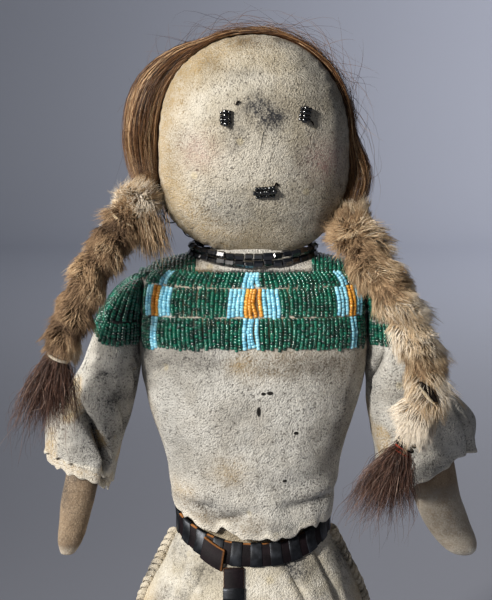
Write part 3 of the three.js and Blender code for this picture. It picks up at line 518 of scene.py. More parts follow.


# Worn holes in the front of the dress, each painted near-black as painted shade in its depth: x, z, half width
# and half height
CHEST_HOLES = [(4.8, 286.6, 1.4, 1.0), (8.0, 287.0, 1.9, 1.2), (2.5, 277.5, 1.3, 2.8),
               (21.0, 266.0, 1.5, 1.0), (15.5, 241.0, 1.4, 0.9)]
PALE_HIDE = hide_paint("pale_hide", "dfdcd4", "bfbab0", "57524b", 0.6, holes=CHEST_HOLES)
SKIRT_HIDE = hide_paint("skirt_hide", "e6e1d5", "cac1ad", "6b6254", 0.36, cloud=20, relief=1.0)
FACE_HIDE = hide_paint("face_hide", "d6cfc0", "bdb29c", "5f574b", 0.6, cloud=30)
TAN_HIDE = hide_paint("tan_hide", "a08a70", "7f6a53", "584838", 0.3, cloud=16, relief=0.5)
LACE_HIDE = hide_paint("lace_hide", "ddd3c0", "b8ab94", "8a7d68", 0.35, cloud=10)
SHOE_HIDE = hide_paint("shoe_hide", "c9b48c", "a58c63", "7a6445", 0.4, cloud=18)
FILLING = hide_paint("filling", "b9ac94", "9b8e77", "7d715d", 0.4, cloud=12)
SEED_PAINTS = [glass_paint("green_glass", "023027", "066650"),
               glass_paint("blue_glass", "74c0dc", "a2e2f3", 0.22),
               glass_paint("orange_glass", "cc821e", "eeab40", 0.22)]
BLACK_GLASS = glass_paint("black_glass", "040405", "0c0d10", 0.1, 0.04, 0.08)
SLATE_GLASS = glass_paint("slate_glass", "050609", "13161c", 0.14)
HAIR = strand_paint("hair", "24140a 5a3920 9a6f47 e2c096", (0.0, 0.3, 0.6, 1.0), 0.12, 0.42)
DARK_HAIR = strand_paint("dark_hair", "241510 4c3126 7a5a4b b09484", (0.0, 0.4, 0.75, 1.0), 0.1)
FUR = strand_paint("fur", "4d3a2b 8b7056 b89a76 dfc9a8 f7eddd", (0.0, 0.3, 0.55, 0.8, 1.0), 0.55, 0.85)
LEATHER = leather_paint()
METAL = metal_paint()
BLACK_THREAD = thread_paint("black_thread", "0d0a08", "2a211b")
RED_THREAD = thread_paint("red_thread", "5c1f17", "96402f")
PALE_THREAD = thread_paint("pale_thread", "b9a988", "e2d6bd")


# Camera, floor and light

CAMERA_PLACE, CAMERA_PITCH = np.array([-3.8, -700.0, 462.0]), 10.9
FOCAL_PIXELS, PICTURE_PIXELS, SENSOR = 1411, 600, 36

# Lamps: name, place, aim, size, power and colour
LAMPS = [
    ("key", (-0.97, -1.06, 1.0), (0, 0, 0.33), 0.2, 29.5, (1.0, 0.965, 0.91)),
    ("side", (-1.33, -0.54, 0.85), (0, 0, 0.3), 0.3, 13, (1.0, 0.96, 0.9)),
    ("fill", (-0.1, -1.6, 0.6), (0, 0, 0.3), 0.8, 0.9, (0.95, 0.97, 1.0)),
    ("behind", (-0.3, 1.2, 1.5), (0, 0, 0.3), 1.0, 9, (1.0, 0.98, 0.95)),
    ("backdrop", (1.2, 1.5, 1.5), (1.0, 3.1, 0.3), 1.0, 22, (0.95, 0.97, 1.0)),
]


def add(name, data):
    obj = bpy.data.objects.new(name, data)
    bpy.context.scene.collection.objects.link(obj)
    return obj


def stage_sweep():
    """A floor that turns up into a backdrop."""
    front, bend_at, bend, half, top = -2600, 2300, 500, 3200, 3200
    curve = [(bend_at + bend * math.sin(a), bend - bend * math.cos(a))
             for a in np.linspace(0, math.pi / 2, 13)]
    profile = [(front, 0), *curve, (bend_at + bend, top)]
    points = np.array([(x, y, z) for y, z in profile for x in (-half, 0, half)], float)
    mesh = bpy.data.meshes.new("sweep")
    mesh.from_pydata((points * MM).tolist(), [], grid_faces(len(profile), 3, wrap=False).tolist())
    mesh.polygons.foreach_set("use_smooth", np.ones(len(mesh.polygons), bool))
    p = Paint("sweep", Roughness=0.95, Specular_IOR_Level=0.1)
    across = p.node("SeparateXYZ", 0, Vector=p.where)
    # painted shade and shadow: the sweep is painted darker to the left, darkest on the floor on the left near
    # the doll, and lighter to the right
    near_by = p.steps(across.node.outputs["Y"], 2.4, 0.5)
    left = p.mixed(near_by, rgb("9599a5"), rgb("3a3e46"))
    right = p.mixed(near_by, rgb("b4b7c4"), rgb("a4a7b3"))
    mesh.materials.append(p.done(p.mixed(p.steps(across, -0.9, 0.9), left, right)))
    sweep = add("sweep", mesh)


def lamp(name, place, aim, size, power, tint):
    data = bpy.data.lights.new(name, "AREA")
    data.size, data.energy, data.color = size, power, tint
    obj = add(name, data)
    obj.location = place
    obj.rotation_euler = (Vector(aim) - Vector(place)).to_track_quat("-Z", "Y").to_euler()


camera = add("camera", bpy.data.cameras.new("camera"))
camera.location = (CAMERA_PLACE + SHIFT) * MM
camera.rotation_euler = (math.radians(90 - CAMERA_PITCH), 0, 0)
camera.data.sensor_width = SENSOR
camera.data.lens = SENSOR * FOCAL_PIXELS / PICTURE_PIXELS
bpy.context.scene.camera = camera
stage_sweep()
for settings in LAMPS:
    lamp(*settings)
world = bpy.data.worlds.new("studio")
bpy.context.scene.world = world
world.use_nodes = True
world.node_tree.nodes["Background"].inputs["Color"].default_value = (0.86, 0.9, 1.0, 1)
world.node_tree.nodes["Background"].inputs["Strength"].default_value = 0.055
bpy.context.scene.view_settings.view_transform = "Standard"


# The body's own surface, over which every garment lies

def chest(share):
    return mix(WAIST_Z, SHOULDER_Z, share)


def girth(share):
    return mix(WAIST_WIDE, CHEST_WIDE, share)


def skirt_level(share):
    return mix(HEM_Z, WAIST_Z, share)


def flare(share):
    return mix(WAIST_WIDE, HEM_WIDE, share)


def flare_deep(share):
    return mix(WAIST_DEEP, HEM_DEEP, share)


hip_level = mix(SEAT_Z, WAIST_Z, 0.35)
slope_levels = [mix(SHOULDER_Z, NECK_BASE_Z, share) for share in (0.4, 0.8)]
torso_half_width = through([
    (SEAT_Z, 0.8 * HIP_WIDE), (hip_level, HIP_WIDE), (WAIST_Z, WAIST_WIDE), (chest(0.13), girth(0.19)),
    (chest(0.33), girth(0.47)), (chest(0.48), girth(0.79)), (chest(0.66), CHEST_WIDE),
    (chest(0.84), girth(0.99)),
    (chest(0.93), girth(0.95)), (chest(0.97), girth(0.86)), (SHOULDER_Z, girth(0.62)),
    (slope_levels[0], mix(NECK_WIDE, girth(0.62), 0.62)),
    (slope_levels[1], mix(NECK_WIDE, girth(0.62), 0.14)),
    (NECK_BASE_Z, NECK_WIDE)])
torso_half_depth = through([
    (SEAT_Z, 0.72 * HIP_DEEP), (hip_level, HIP_DEEP), (WAIST_Z, WAIST_DEEP), (chest(0.33), 29.14),
    (chest(0.6), CHEST_DEEP), (chest(0.84), 0.9 * CHEST_DEEP), (chest(0.97), 21.1), (slope_levels[0], 17.8),
    (NECK_BASE_Z, NECK_DEEP)])
torso_square = through([(WAIST_Z, 2.3), (chest(0.45), 2.4), (chest(0.8), 2.9), (SHOULDER_Z, 2.7),
                        (NECK_BASE_Z, 2.3)])
droop_fade = through([(HEM_Z, 0), (WAIST_Z - BELT_WIDTH, 1), (WAIST_Z + BELT_WIDTH, 1), (chest(0.5), 0)])
skirt_half_width = through([
    (HEM_Z, HEM_WIDE), (skirt_level(0.37), flare(0.8)), (skirt_level(0.69), flare(0.53)),
    (skirt_level(0.86), flare(0.22)), (BELT_FOOT, torso_half_width(BELT_FOOT) + 0.6),
    (BELT_TOP, torso_half_width(BELT_TOP))])
skirt_half_depth = through([
    (HEM_Z, HEM_DEEP), (skirt_level(0.37), flare_deep(0.78)), (skirt_level(0.69), flare_deep(0.5)),
    (skirt_level(0.86), flare_deep(0.22)), (BELT_FOOT, torso_half_depth(BELT_FOOT) + 0.6),
    (BELT_TOP, torso_half_depth(BELT_TOP))])
fold_fade = through([(HEM_Z, 1), (skirt_level(0.5), 0.6), (skirt_level(0.85), 0), (BELT_TOP, 0)])


def droop(turn, z):
    """How far the waistline sags in front."""
    return WAIST_DROOP * np.maximum(0, -np.sin(TAU * turn)) ** 2 * droop_fade(z)


def torso(turn, z, out):
    return xyz(*oval(turn, torso_half_width(z) + out, torso_half_depth(z) + out, torso_square(z)), z)


def dress(turn, z, out):
    return torso(turn, z - droop(turn, z), out)


def skirt(turn, level, out):
    z = level - droop(turn, level)
    grow = out + FOLD_DEPTH * fold_fade(level) * np.cos(TAU * SKIRT_FOLDS * turn)
    return xyz(*oval(turn, skirt_half_width(z) + grow, skirt_half_depth(z) + grow, 2.3), z)


def side_rise(turn):
    return np.cos(TAU * turn) ** 2


# Beads

def bead_shape(radius, half_length, hole, around, profile=8, square=0.75):
    a = TAU * np.arange(around)[:, None] / around
    b = TAU * np.arange(profile)[None] / profile
    r = (radius + hole) / 2 + (radius - hole) / 2 * np.sign(np.cos(b)) * np.abs(np.cos(b)) ** square
    h = half_length * np.sign(np.sin(b)) * np.abs(np.sin(b)) ** square
    return xyz(r * np.cos(a), r * np.sin(a), h).reshape(-1, 3), grid_faces(around, profile, wrap_rows=True)


def cut_bead_shape(radius, half_length):
    """A hexagonal bead with ground ends."""
    a = TAU * np.arange(6) / 6
    r, h = np.array([(0.35, -0.9), (0.8, -1), (1, -0.8), (1, 0.8), (0.8, 1), (0.35, 0.9)]).T[:, :, None]
    points = xyz(r * radius * np.cos(a), r * radius * np.sin(a), h * half_length)
    return points.reshape(-1, 3), grid_faces(6, 6, wrap_rows=True)


def strung(name, shape, centres, axes, kinds, paints, body, slot, seed, stands=(), soft=True, jitter=0.05,
           loose=0.06, scale=1.0):
    """Beads on their threads: one shape at each centre, along each axis, in the paint of its kind."""
    rng = np.random.default_rng(seed)
    form, faces = shape
    count = len(centres)
    axes = unit(axes + rng.normal(0, jitter, axes.shape))
    first = unit(np.cross(axes, unit(rng.normal(size=axes.shape))))
    second = np.cross(axes, first)
    size = np.broadcast_to(scale, count)[:, None, None] * (1 + rng.normal(0, jitter, (count, 1, 1)))
    local = form[None, :, :, None] * np.stack([first, second, axes], 1)[:, None]
    points = (centres + rng.normal(0, loose, centres.shape))[:, None] + size * local.sum(2)
    all_faces = (faces[None] + (np.arange(count) * len(form))[:, None, None]).reshape(-1, 4)
    tone = np.repeat(rng.uniform(0, 1, count), len(form))
    across = math.ceil(math.sqrt(count))
    cell = np.stack([np.arange(count) % across, np.arange(count) // across], -1)[:, None]
    inner = 0.3 + 0.4 * rng.uniform(size=(1, len(form), 2))
    uv = ((cell + inner) / across).reshape(-1, 2)
    return piece(name, points, all_faces, paints, body, slot, stands, values={"tone": tone}, uv=uv,
                 index=np.repeat(kinds, len(faces)), soft=soft, closed=False)


def arc_turns(line, shares):
    """The turns at shares of the length of a closed line."""
    turns = np.linspace(0, 1, 400)
    length = lengths(line(turns))
    return np.interp(np.asarray(shares) * length[-1], length, turns)


def even_turns(surface, level, start, end):
    """The middles of rows of beads side by side round a surface."""
    turns = np.linspace(start, end, 400)
    length = lengths(surface(turns, np.broadcast_to(level, turns.shape), 0))
    rows = round(length[-1] / ROW_PITCH)
    return np.interp((np.arange(rows) + 0.5) / rows * length[-1], length, turns)


def beads_along(line):
    """Centres and axes of beads that fill a line."""
    length = lengths(line)[-1]
    count = max(1, round(length / BEAD_LENGTH))
    centres = at_lengths(line, (np.arange(count) + 0.5) / count * length)
    return centres, np.gradient(centres, axis=0) if count > 1 else np.array([line[-1] - line[0]])


SEED = bead_shape(1.09, 0.75, 0.3, 10)
GREEN, BLUE, ORANGE = 0, 1, 2


def bead_rows(rows):
    """Joins (line, kind) rows into centres, axes and kinds."""
    centres, axes = zip(*(beads_along(line) for line, _ in rows))
    kinds = np.repeat([kind for _, kind in rows], [len(c) for c in centres])
    return np.vstack(centres), np.vstack(axes), kinds


def lane_rows(surface, turns, top, foot, kind_of, uneven=0.45):
    """Rows of a lane from its top edge to its foot, each drawn down to the hide at both ends."""
    rng = np.random.default_rng(len(turns))
    share = np.linspace(0, 1, 12)
    pitch = np.diff(turns).mean()
    rows = []
    for i, turn in enumerate(turns):
        levels = mix(top(turn), foot(turn) - uneven * rng.normal(), share)
        out = 1.25 + rng.uniform(0.45, 0.95) * np.sin(np.pi * share)
        sways = turn + pitch * (0.09 * np.sin(3.5 * share + 0.35 * i) + 0.03 * rng.normal())
        rows.append((surface(sways, levels, out), kind_of(i, len(turns))))
    return rows


# Crosses on the lanes, in rows from a panel's middle and its ends: first row, row after the last, colour
CROSSES = {"upper": ([(-2, 2, BLUE)], [(4, 6, BLUE)]),
           "middle": ([(-6, 6, BLUE), (-2, 2, ORANGE)], [(1, 8, BLUE), (3, 5, ORANGE)]),
           "lower": ([(-2, 2, BLUE)], [(3, 5, BLUE)])}
YOKE_EDGES = {
    "upper": (lambda t: 344.6, lambda t: chest(0.943) + side_rise(t)),
    "middle": (lambda t: chest(0.943) + side_rise(t) - 0.4, lambda t: chest(0.84) - side_rise(t)),
    "lower": (lambda t: chest(0.84) - side_rise(t) - 0.4, lambda t: chest(0.722) - 2 * side_rise(t)),
}
YOKE_PANELS = (("front", 0.56, 0.94), ("back", 0.06, 0.44))


def cross_kind(lane):
    """The colour of each row of a lane."""
    centre, end = CROSSES[lane]

    def kind(i, rows):
        found = GREEN
        for place, marks in ((i - rows // 2, centre), (min(i, rows - 1 - i), end)):
            for start, stop, colour in marks:
                if start <= place < stop:
                    found = colour
        return found

    return kind


for lane_seed, (lane, (lane_top, lane_foot)) in enumerate(YOKE_EDGES.items()):
    for panel, start, end in YOKE_PANELS:
        heart = (start + end) / 2
        lane_turns = even_turns(torso, (lane_top(heart) + lane_foot(heart)) / 2, start, end)
        rows = lane_rows(torso, lane_turns, lane_top, lane_foot, cross_kind(lane))
        node = f"yoke_{panel}_{lane}"
        strung(f"{node}_beads", SEED, *bead_rows(rows), SEED_PAINTS, "trunk", "green_beads", 10 + lane_seed,
               [node])


def shoulder_height(x, y):
    """The top of the shoulder over a place on the plan."""
    low_z, high_z = np.full(np.shape(y), 330.0), np.full(np.shape(y), NECK_BASE_Z)
    for _ in range(30):
        z = (low_z + high_z) / 2
        power = torso_square(z)
        inside = np.abs(x / torso_half_width(z)) ** power + np.abs(y / torso_half_depth(z)) ** power < 1
        low_z, high_z = np.where(inside, z, low_z), np.where(inside, high_z, z)
    return low_z


SHOULDER_EDGE = through([(44, 343.2), (48, 342.5), (56, 336.5)])
FIRST_ROW, SEAM_ROW, LAST_ROW = 29.5, 49.5, 55.0
ROW_LIFT, LAST_ROW_LIFT = 1.2, 1.95


def shoulder_rows(side):
    """Rows over the top of a shoulder, from the front lane to the back one, out over the armhole seam."""
    rows = []
    for x in np.arange(FIRST_ROW, ARMHOLE, ROW_PITCH):
        edge = SHOULDER_EDGE(x)
        wide, deep, power = torso_half_width(edge), torso_half_depth(edge), torso_square(edge)
        half = deep * (1 - min(0.97, x / wide) ** power) ** (1 / power)
        y = np.linspace(-half, half, 18)
        over_seam = 343.8 - 0.5 * (x - SEAM_ROW) - 0.012 * y ** 2
        lift = LAST_ROW_LIFT if x > LAST_ROW else ROW_LIFT
        z = np.maximum(shoulder_height(x, y), over_seam if x > SEAM_ROW else 0) + lift
        rows.append((xyz(side * x, y * (1 + 0.6 / half), z), GREEN))
    return rows


for side in (RIGHT, LEFT):
    strung(f"yoke_shoulder_{SIDE_NAMES[side]}", SEED, *bead_rows(shoulder_rows(side)), SEED_PAINTS, "trunk",
           "green_beads", 30 + side)


# Dress body

# Stains and painted shade on the front: x, z, half width, half height and strength; the last three are painted
# shade in the creases above the belt, and the tall one at x 44 is painted shade on the doll's left side
BODICE_SOOT_AND_SHADE = [(-30, 303, 22, 6, 0.3), (5, 301, 26, 6, 0.4), (35, 300, 16, 8, 0.35), (28, 236, 14, 10, 0.3),
               (-22, 222, 12, 7, 0.4), (4, 215, 14, 5, 0.4), (44, 262, 9, 24, 0.35), (30, 216, 12, 4, 0.3),
               (-27, 226, 9, 2.5, 0.5), (-9, 221, 9, 2.5, 0.5), (27, 228, 12, 2.5, 0.45)]
BODICE_WARM = [(-8, 300, 6, 5, 0.3), (-12, 246, 9, 8, 0.25), (-36, 232, 8, 7, 0.3)]
# Creases above the belt: x, z, half width and slope
BELT_CREASES = ((-27, 227, 9, 0.0), (-9, 222, 10, 0.25), (27, 229, 13, 0.2))
UNDER_BEADS, BEADS_TOP = 308, 346


def near(points, spots):
    """Sum of soft spots (x, z, half width, half height, strength) on the front."""
    x, y, z = np.moveaxis(points, -1, 0)
    total = 0
    for cx, cz, wide, tall, strength in spots:
        total = total + strength * np.exp(-((x - cx) / wide) ** 2 - ((z - cz) / tall) ** 2)
    return total * smooth((4 - y) / 12)


def side_seams(turn, half):
    return bump(turn, 0.5, half) + bump(turn, 0.0, half) + bump(turn, 1.0, half)


def bodice():
    columns, rows = 200, 84
    turn = turns_round(columns)
    ragged = lumps(xyz(turn * BODICE_ROUND, 0, 0), 3.5, 5)
    torn = lumps(xyz(turn * BODICE_ROUND, 5.0, 0), 1.8, 6)
    flap = smooth((turn - 0.755) / 0.02) * smooth((0.96 - turn) / 0.05)
    curl = bump(turn, 0.70, 0.035)
    foot = BELT_TOP + 1.6 + ragged + 0.7 * torn + 3.6 * curl + flap * (0.6 + 0.8 * ragged + 0.8 * torn)
    share = np.linspace(0, 1, rows)[:, None]
    level = mix(NECK_BASE_Z, foot, share)
    low_part = smooth((BELT_TOP + 13 - level) / 12)
    base = dress(turn, level, 0.2 + low_part * (2.6 * flap + 1.8 * curl + 0.3))
    x, y, z = np.moveaxis(base, -1, 0)
    front = y < 0
    push = 1.1 * lumps(base, 24, 1) + 0.5 * lumps(base, 8, 2)
    push += 1.9 * smooth((258 - level) / 40) * lumps(base * (1, 1, 0.35), 9, 3)
    push += 1.5 * smooth((236 - level) / 14) * lumps(base * (1, 1, 0.3), 5, 4)
    push -= 2.6 * np.exp(-((x + 46) / 6) ** 2 - ((z - 298 - 0.7 * (x + 46)) / 2.2) ** 2) * front
    push += 0.5 * side_seams(turn, 0.006) * smooth((300 - level) / 10)
    push += 2.6 * bump(level, BELT_TOP + 9, 15) * smooth((turn - 0.71) / 0.05) * smooth((0.97 - turn) / 0.06)
    for cx, cz, wide, slope in BELT_CREASES:
        off = z - cz - slope * (x - cx)
        ridge = 1.6 * np.exp(-((off - 5) / 4.5) ** 2) - 2.4 * np.exp(-(off / 2.2) ** 2)
        push += ridge * np.exp(-((x - cx) / wide) ** 2) * front
    points = pushed(base, push * smooth((306 - level) / 8))
    # painted shade: the hide under the yoke's beads is painted dark, but not at the gaps between the lanes
    lane_gaps = (1 - bump(level, chest(0.943), 2.4)) * (1 - bump(level, chest(0.84), 2.4))
    shade_under_beads = smooth((level - UNDER_BEADS) / 2) * lane_gaps * smooth((BEADS_TOP - level) / 2)
    values = {"soot_and_shade": np.maximum(near(points, BODICE_SOOT_AND_SHADE), 1.2 * shade_under_beads),
              "warm": near(points, BODICE_WARM) + 0.25 * smooth((lumps(points, 30, 8) - 0.1) / 0.7),
              "raw_and_light": smooth((share - 0.96) / 0.03) * 0.9 + 0 * turn}
    made = piece("bodice", points, grid_faces(rows, columns), PALE_HIDE, "trunk", "pale_hide",
                 ["dress_front", "dress_back"], thick=1.3, sub=1, values=values)


def torso_filling():
    points = torso(turns_round(48), np.linspace(SEAT_Z, NECK_BASE_Z, 40)[:, None], -2.6)
    points = pushed(points, 0.4 * lumps(points, 14, 6))
    made = piece("torso_filling", *closed_rings(points), FILLING, "trunk", "stuffing", ["body_torso"], sub=1)


# Neck and choker

def neck():
    level = np.linspace(NECK_BASE_Z - 0.5, HEAD_SEAM_Z - 0.3, 10)[:, None]
    waist = mix(0.86, 0.72, (level - NECK_BASE_Z) / (HEAD_SEAM_Z - NECK_BASE_Z))
    points = xyz(*oval(turns_round(64), NECK_WIDE * waist, NECK_DEEP * waist, 2.2), level)
    points = pushed(points, 0.35 * lumps(points, 5, 7))
    piece("neck_hide", *closed_rings(points), PALE_HIDE, "trunk", "pale_hide", ["neck"], sub=1)


def choker(place, level, seed):
    def line(turns):
        return xyz(*oval(turns, CHOKER_WIDE, CHOKER_DEEP, 2), level + 2.6 * side_rise(turns))

    centres = line(arc_turns(line, (np.arange(CHOKER_BEADS) + 0.5) / CHOKER_BEADS))
    axes = np.roll(centres, -1, 0) - np.roll(centres, 1, 0)
    centres[:, 2] += 0.3 * np.random.default_rng(seed).normal(size=CHOKER_BEADS)
    strung(f"choker_strand_{place}", cut_bead_shape(1.8, 2.3), centres, axes, np.zeros(CHOKER_BEADS, int),
           [SLATE_GLASS], "trunk", "slate_beads", seed, [f"choker_{place}"], soft=False)


bodice()
torso_filling()
neck()
choker("lower", 349.1, 41)
choker("upper", 352.7, 42)


# Head

CHIN_POWER, CROWN_POWER = 3.0, 2.1
# Soot and painted shade on the face: x, z, half width, half height and strength; the broad spot at x 33, z 385
# is painted shade on the doll's left cheek
HEAD_SOOT_AND_SHADE = [(-6, 456.5, 10, 4, 0.8), (-22, 447, 6, 7, 0.6), (16, 457.5, 7, 4, 0.8), (1, 427, 6, 5, 0.6),
             (9, 420, 8, 6, 0.7), (5, 423, 14, 10, 0.25), (29, 432, 9, 11, 0.3), (-4, 441, 10, 3, 0.25),
             (-9, 411, 6, 6, 0.3), (-36, 440, 7, 10, 0.45), (-41, 396, 5, 14, 0.4), (20, 402, 10, 8, 0.2),
             (-12, 380, 14, 9, 0.2), (-43, 427, 5, 9, 0.4), (-37, 411, 6, 5, 0.3), (33, 385, 18, 26, 0.28),
             (44, 430, 6, 16, 0.3), (10, 372, 30, 10, 0.22), (-24, 372, 12, 8, 0.2), (26, 446, 10, 6, 0.25)]
HEAD_BLUSH = [(35, 400, 9, 9, 0.3), (-26, 404, 9, 9, 0.22)]


def head_bulge(share):
    return np.clip(1 - share ** 2.3, 0, 1) ** 0.55


def head_point(angle, share, side, grow):
    """A point of the stuffed head: angle round its outline, share out to the seam, side -1 for the face."""
    angle, share, side, grow = np.broadcast_arrays(*map(np.asarray, (angle, share, side, grow)))
    c, s = np.cos(angle), np.sin(angle)
    power = np.where(s < 0, CHIN_POWER, CROWN_POWER)
    x = share * np.sign(c) * np.abs(c) ** (2 / power) * (HEAD_WIDE + grow)
    z = share * np.sign(s) * np.abs(s) ** (2 / power) * (HEAD_TALL + grow)
    return np.stack([x, side * head_bulge(share) * (HEAD_DEEP + grow), HEAD_Z + z], -1)


def outline_share(u, v):
    """How far out to the seam a place on the face is, and the power of the outline there."""
    power = np.where(v < 0, CHIN_POWER, CROWN_POWER)
    return (np.abs(u) ** power + np.abs(v) ** power) ** (1 / power), power


def face_y(x, z):
    """How far forward the face is at a place on it."""
    share, _ = outline_share(np.asarray(x, float) / HEAD_WIDE, (np.asarray(z, float) - HEAD_Z) / HEAD_TALL)
    return -head_bulge(share) * HEAD_DEEP


def head():
    angle = TAU * turns_round(120)
    share = np.sin(np.linspace(0.04, 1, 30) * np.pi / 2)[:, None]
    rings = np.concatenate([head_point(angle, share, -1, -0.6), head_point(angle, share[-2::-1], 1, -0.6)])
    reach = np.concatenate([share, share[-2::-1]])
    gather = 0.45 * smooth((reach - 0.82) / 0.15) * np.cos(angle * 54 + 2 * np.sin(angle * 5))
    push = 0.7 * lumps(rings, 26, 11) + 0.25 * lumps(rings, 9, 12) + gather
    rings = pushed(rings, push, np.array([0, 0, HEAD_Z]), 1)
    rings[..., 2] = np.maximum(rings[..., 2], HEAD_SEAM_Z + 0.1 * lumps(rings, 6, 13) + 0.15)
    rings[..., 2] -= 3.4 * smooth((370 - rings[..., 2]) / 13) * smooth((-2 - rings[..., 1]) / 8)
    points, faces = closed_rings(rings)
    edge = np.hypot(points[:, 0] / HEAD_WIDE, (points[:, 2] - HEAD_Z) / HEAD_TALL)
    values = {"soot_and_shade": near(points, HEAD_SOOT_AND_SHADE), "blush": near(points, HEAD_BLUSH),
              "warm": 0.4 * smooth((edge - 0.62) / 0.35) * smooth((30 - points[:, 0]) / 60)}
    made = piece("head_hide", points, faces, FACE_HIDE, "head", "face_hide",
                 ["head_face", "head_back", "head_stuffing"], sub=1, values=values, stuffed=1.4)


def face_beads(node, x, z, tilt, lines, upright, seed):
    """A sewn cluster of black beads: lines of (offset, beads, pitch, scale, height), upright or across."""
    spots = [(offset, (k - (count - 1) / 2) * pitch, scale, height)
             for offset, count, pitch, scale, height in lines for k in range(count)]
    offset, run, scale, height = np.array(spots).T
    across, up = (offset, run) if upright else (run, offset)
    cx = x + across * math.cos(tilt) - up * math.sin(tilt)
    cz = z + across * math.sin(tilt) + up * math.cos(tilt)
    centres = xyz(cx, face_y(cx, cz) - 0.8 - height, cz)
    lie = tilt + (np.pi / 2 if upright else 0)
    axes = np.tile([math.cos(lie), 0.0, math.sin(lie)], (len(spots), 1))
    strung(f"{node}_beads", bead_shape(1.15, 0.86, 0.2, 12, 10), centres, axes, np.zeros(len(spots), int),
           [BLACK_GLASS], "head", "black_beads", seed, [node], jitter=0.06, scale=scale)


def thread(name, points, width, paint, slot, soot_and_shade=0.0):
    """A stitch or fold on the head."""
    p, f = closed_rings(tube(spline(points, 24), width / 2, width / 2, 6))
    piece(name, p, f, paint, "head", slot, values={"soot_and_shade": np.full(len(p), soot_and_shade)})


def on_face(*places):
    """Points (x, z, out) on the face."""
    return [(x, float(face_y(x, z)) - out, z) for x, z, out in places]


EYE_LINES = [(-1.95, 4, 1.7, 0.9, 0.1), (0, 4, 1.9, 1.3, 1.1), (1.95, 4, 1.7, 0.9, 0.1)]
MOUTH_LINES = [(-2.0, 6, 1.6, 0.88, 0.1), (0, 7, 1.6, 1.1, 0.9), (2.0, 6, 1.6, 0.88, 0.1)]
UPPER_LOOP = [(-40.5, -3, 376), (-44.5, -6, 371), (-41.5, -7, 367.5), (-38, -5, 368.5), (-37.5, -3, 372)]
LOWER_LOOP = [(-36, -3, 369), (-34.5, -6, 362.5), (-31, -7, 360.3), (-27.5, -6, 361), (-27, -4, 364)]
# Loose stitches on the face: name, width and places
STITCHES = [("brow_stitch", 0.95, [(-8.4, 426.4, 0), (-7.9, 427.7, 0.4), (-6.9, 428.2, 0.1)]),
            ("eye_knot", 0.7, [(26.5, 419.2, 0), (27.8, 418.0, 0.5), (28.4, 416.6, 0)]),
            ("mouth_knot", 0.8, [(9.6, 387, 0), (10.6, 389.6, 0.8), (11.6, 388.2, 0)])]
head()
face_beads("eye_right", -13.3, 420.4, 0.06, EYE_LINES, True, 51)
face_beads("eye_left", 24.3, 422.0, -0.14, EYE_LINES, True, 52)
face_beads("mouth", 5.3, 385.1, 0.06, MOUTH_LINES, False, 53)
thread("seam_loop_upper", UPPER_LOOP, 0.6, BLACK_THREAD, "hair")
thread("seam_loop_lower", LOWER_LOOP, 0.6, BLACK_THREAD, "hair")
thread("nose_fold", on_face((4.2, 414, -0.2), (3.4, 409, -0.12), (2.2, 402.5, -0.3)), 0.5, FACE_HIDE,
       "face_hide", 0.2)
for name, width, places in STITCHES:
    thread(name, on_face(*places), width, BLACK_THREAD, "black_beads")


# Hair

COMBED_TO, RIM_TO = {RIGHT: 203, LEFT: -31}, {RIGHT: 196, LEFT: -20}
CLUMPS = 70


def scalp():
    """The mass of the hair over the back of the head, under the loose hairs."""
    angle = TAU * turns_round(96)
    share = np.sin(np.linspace(0.04, 1, 26) * np.pi / 2)[:, None]
    inner = head_point(angle, share, 1, -2.4)
    back = head_point(angle, share, 1, mix(1.9, 0.1, smooth((share - 0.9) / 0.1)))
    low_part = smooth((back[..., 2] - 362) / 12)[..., None]
    points, faces = closed_rings(np.concatenate([mix(inner, back, low_part), inner[::-1]]))
    x, y, z = points.T
    tone = 0.15 + 0.12 * lumps(xyz(np.arctan2(z - HEAD_Z, x) * 60, y * 0.2, z * 0.1), 1.5, 9)
    piece("hair_base", points, faces, HAIR, "head", "hair", ["hair_scalp"],
          uv=strand_map(tone, np.full(len(points), 0.5)), closed=False)


def on_outline(u, v):
    """The angle and share of head_point at a place in the head's outline, each way from -1 to 1."""
    share, power = outline_share(u, v)
    share = share + 1e-6
    across, up = (np.sign(w) * (np.abs(w) / share) ** (power / 2) for w in (u, v))
    return np.arctan2(up, across), share


def combed(side, count, seed):
    """Hairs from the parting down the back of the head, round to one braid."""
    rng = np.random.default_rng(seed)
    one = (count, 1)
    t = np.linspace(0, 1, 13)[None]
    height = rng.uniform(-0.9, 0.99, one)
    end = np.radians(COMBED_TO[side]) + rng.normal(0, 0.06, one)
    lift = rng.normal(0, 0.05, one)
    middle, last = 2 * t * (1 - t), t ** 2 * 0.96
    u = middle * side * (0.6 + 0.4 * np.abs(height)) + last * np.cos(end) + rng.normal(0, 0.015, one)
    v = (1 - t) ** 2 * height + middle * (0.95 * height + lift) + last * np.sin(end)
    angle, share = on_outline(u, v)
    grow = 1.2 + 2.6 * rng.uniform(0, 1, one) ** 1.5 + 0.5 * np.sin(t * np.pi)
    paths = head_point(angle, np.minimum(share, 0.985), 1, grow)
    goal = BRAID_TOP[side] + rng.normal(0, 2.6, (count, 1, 3)) + np.array([0, 2.0, 4.0])
    paths = mix(paths, goal, smooth((t - 0.78) / 0.22)[..., None])
    paths += 0.5 * drift(paths, 7, seed)
    streaks = lumps(xyz(height[:, 0] * 60, side * 20, lift[:, 0] * 40), 1.5, seed)
    tone = 0.45 + 0.2 * rng.normal(size=count) + 0.5 * streaks
    return paths, 0.28 * rng.uniform(0.6, 1.4, count), tone


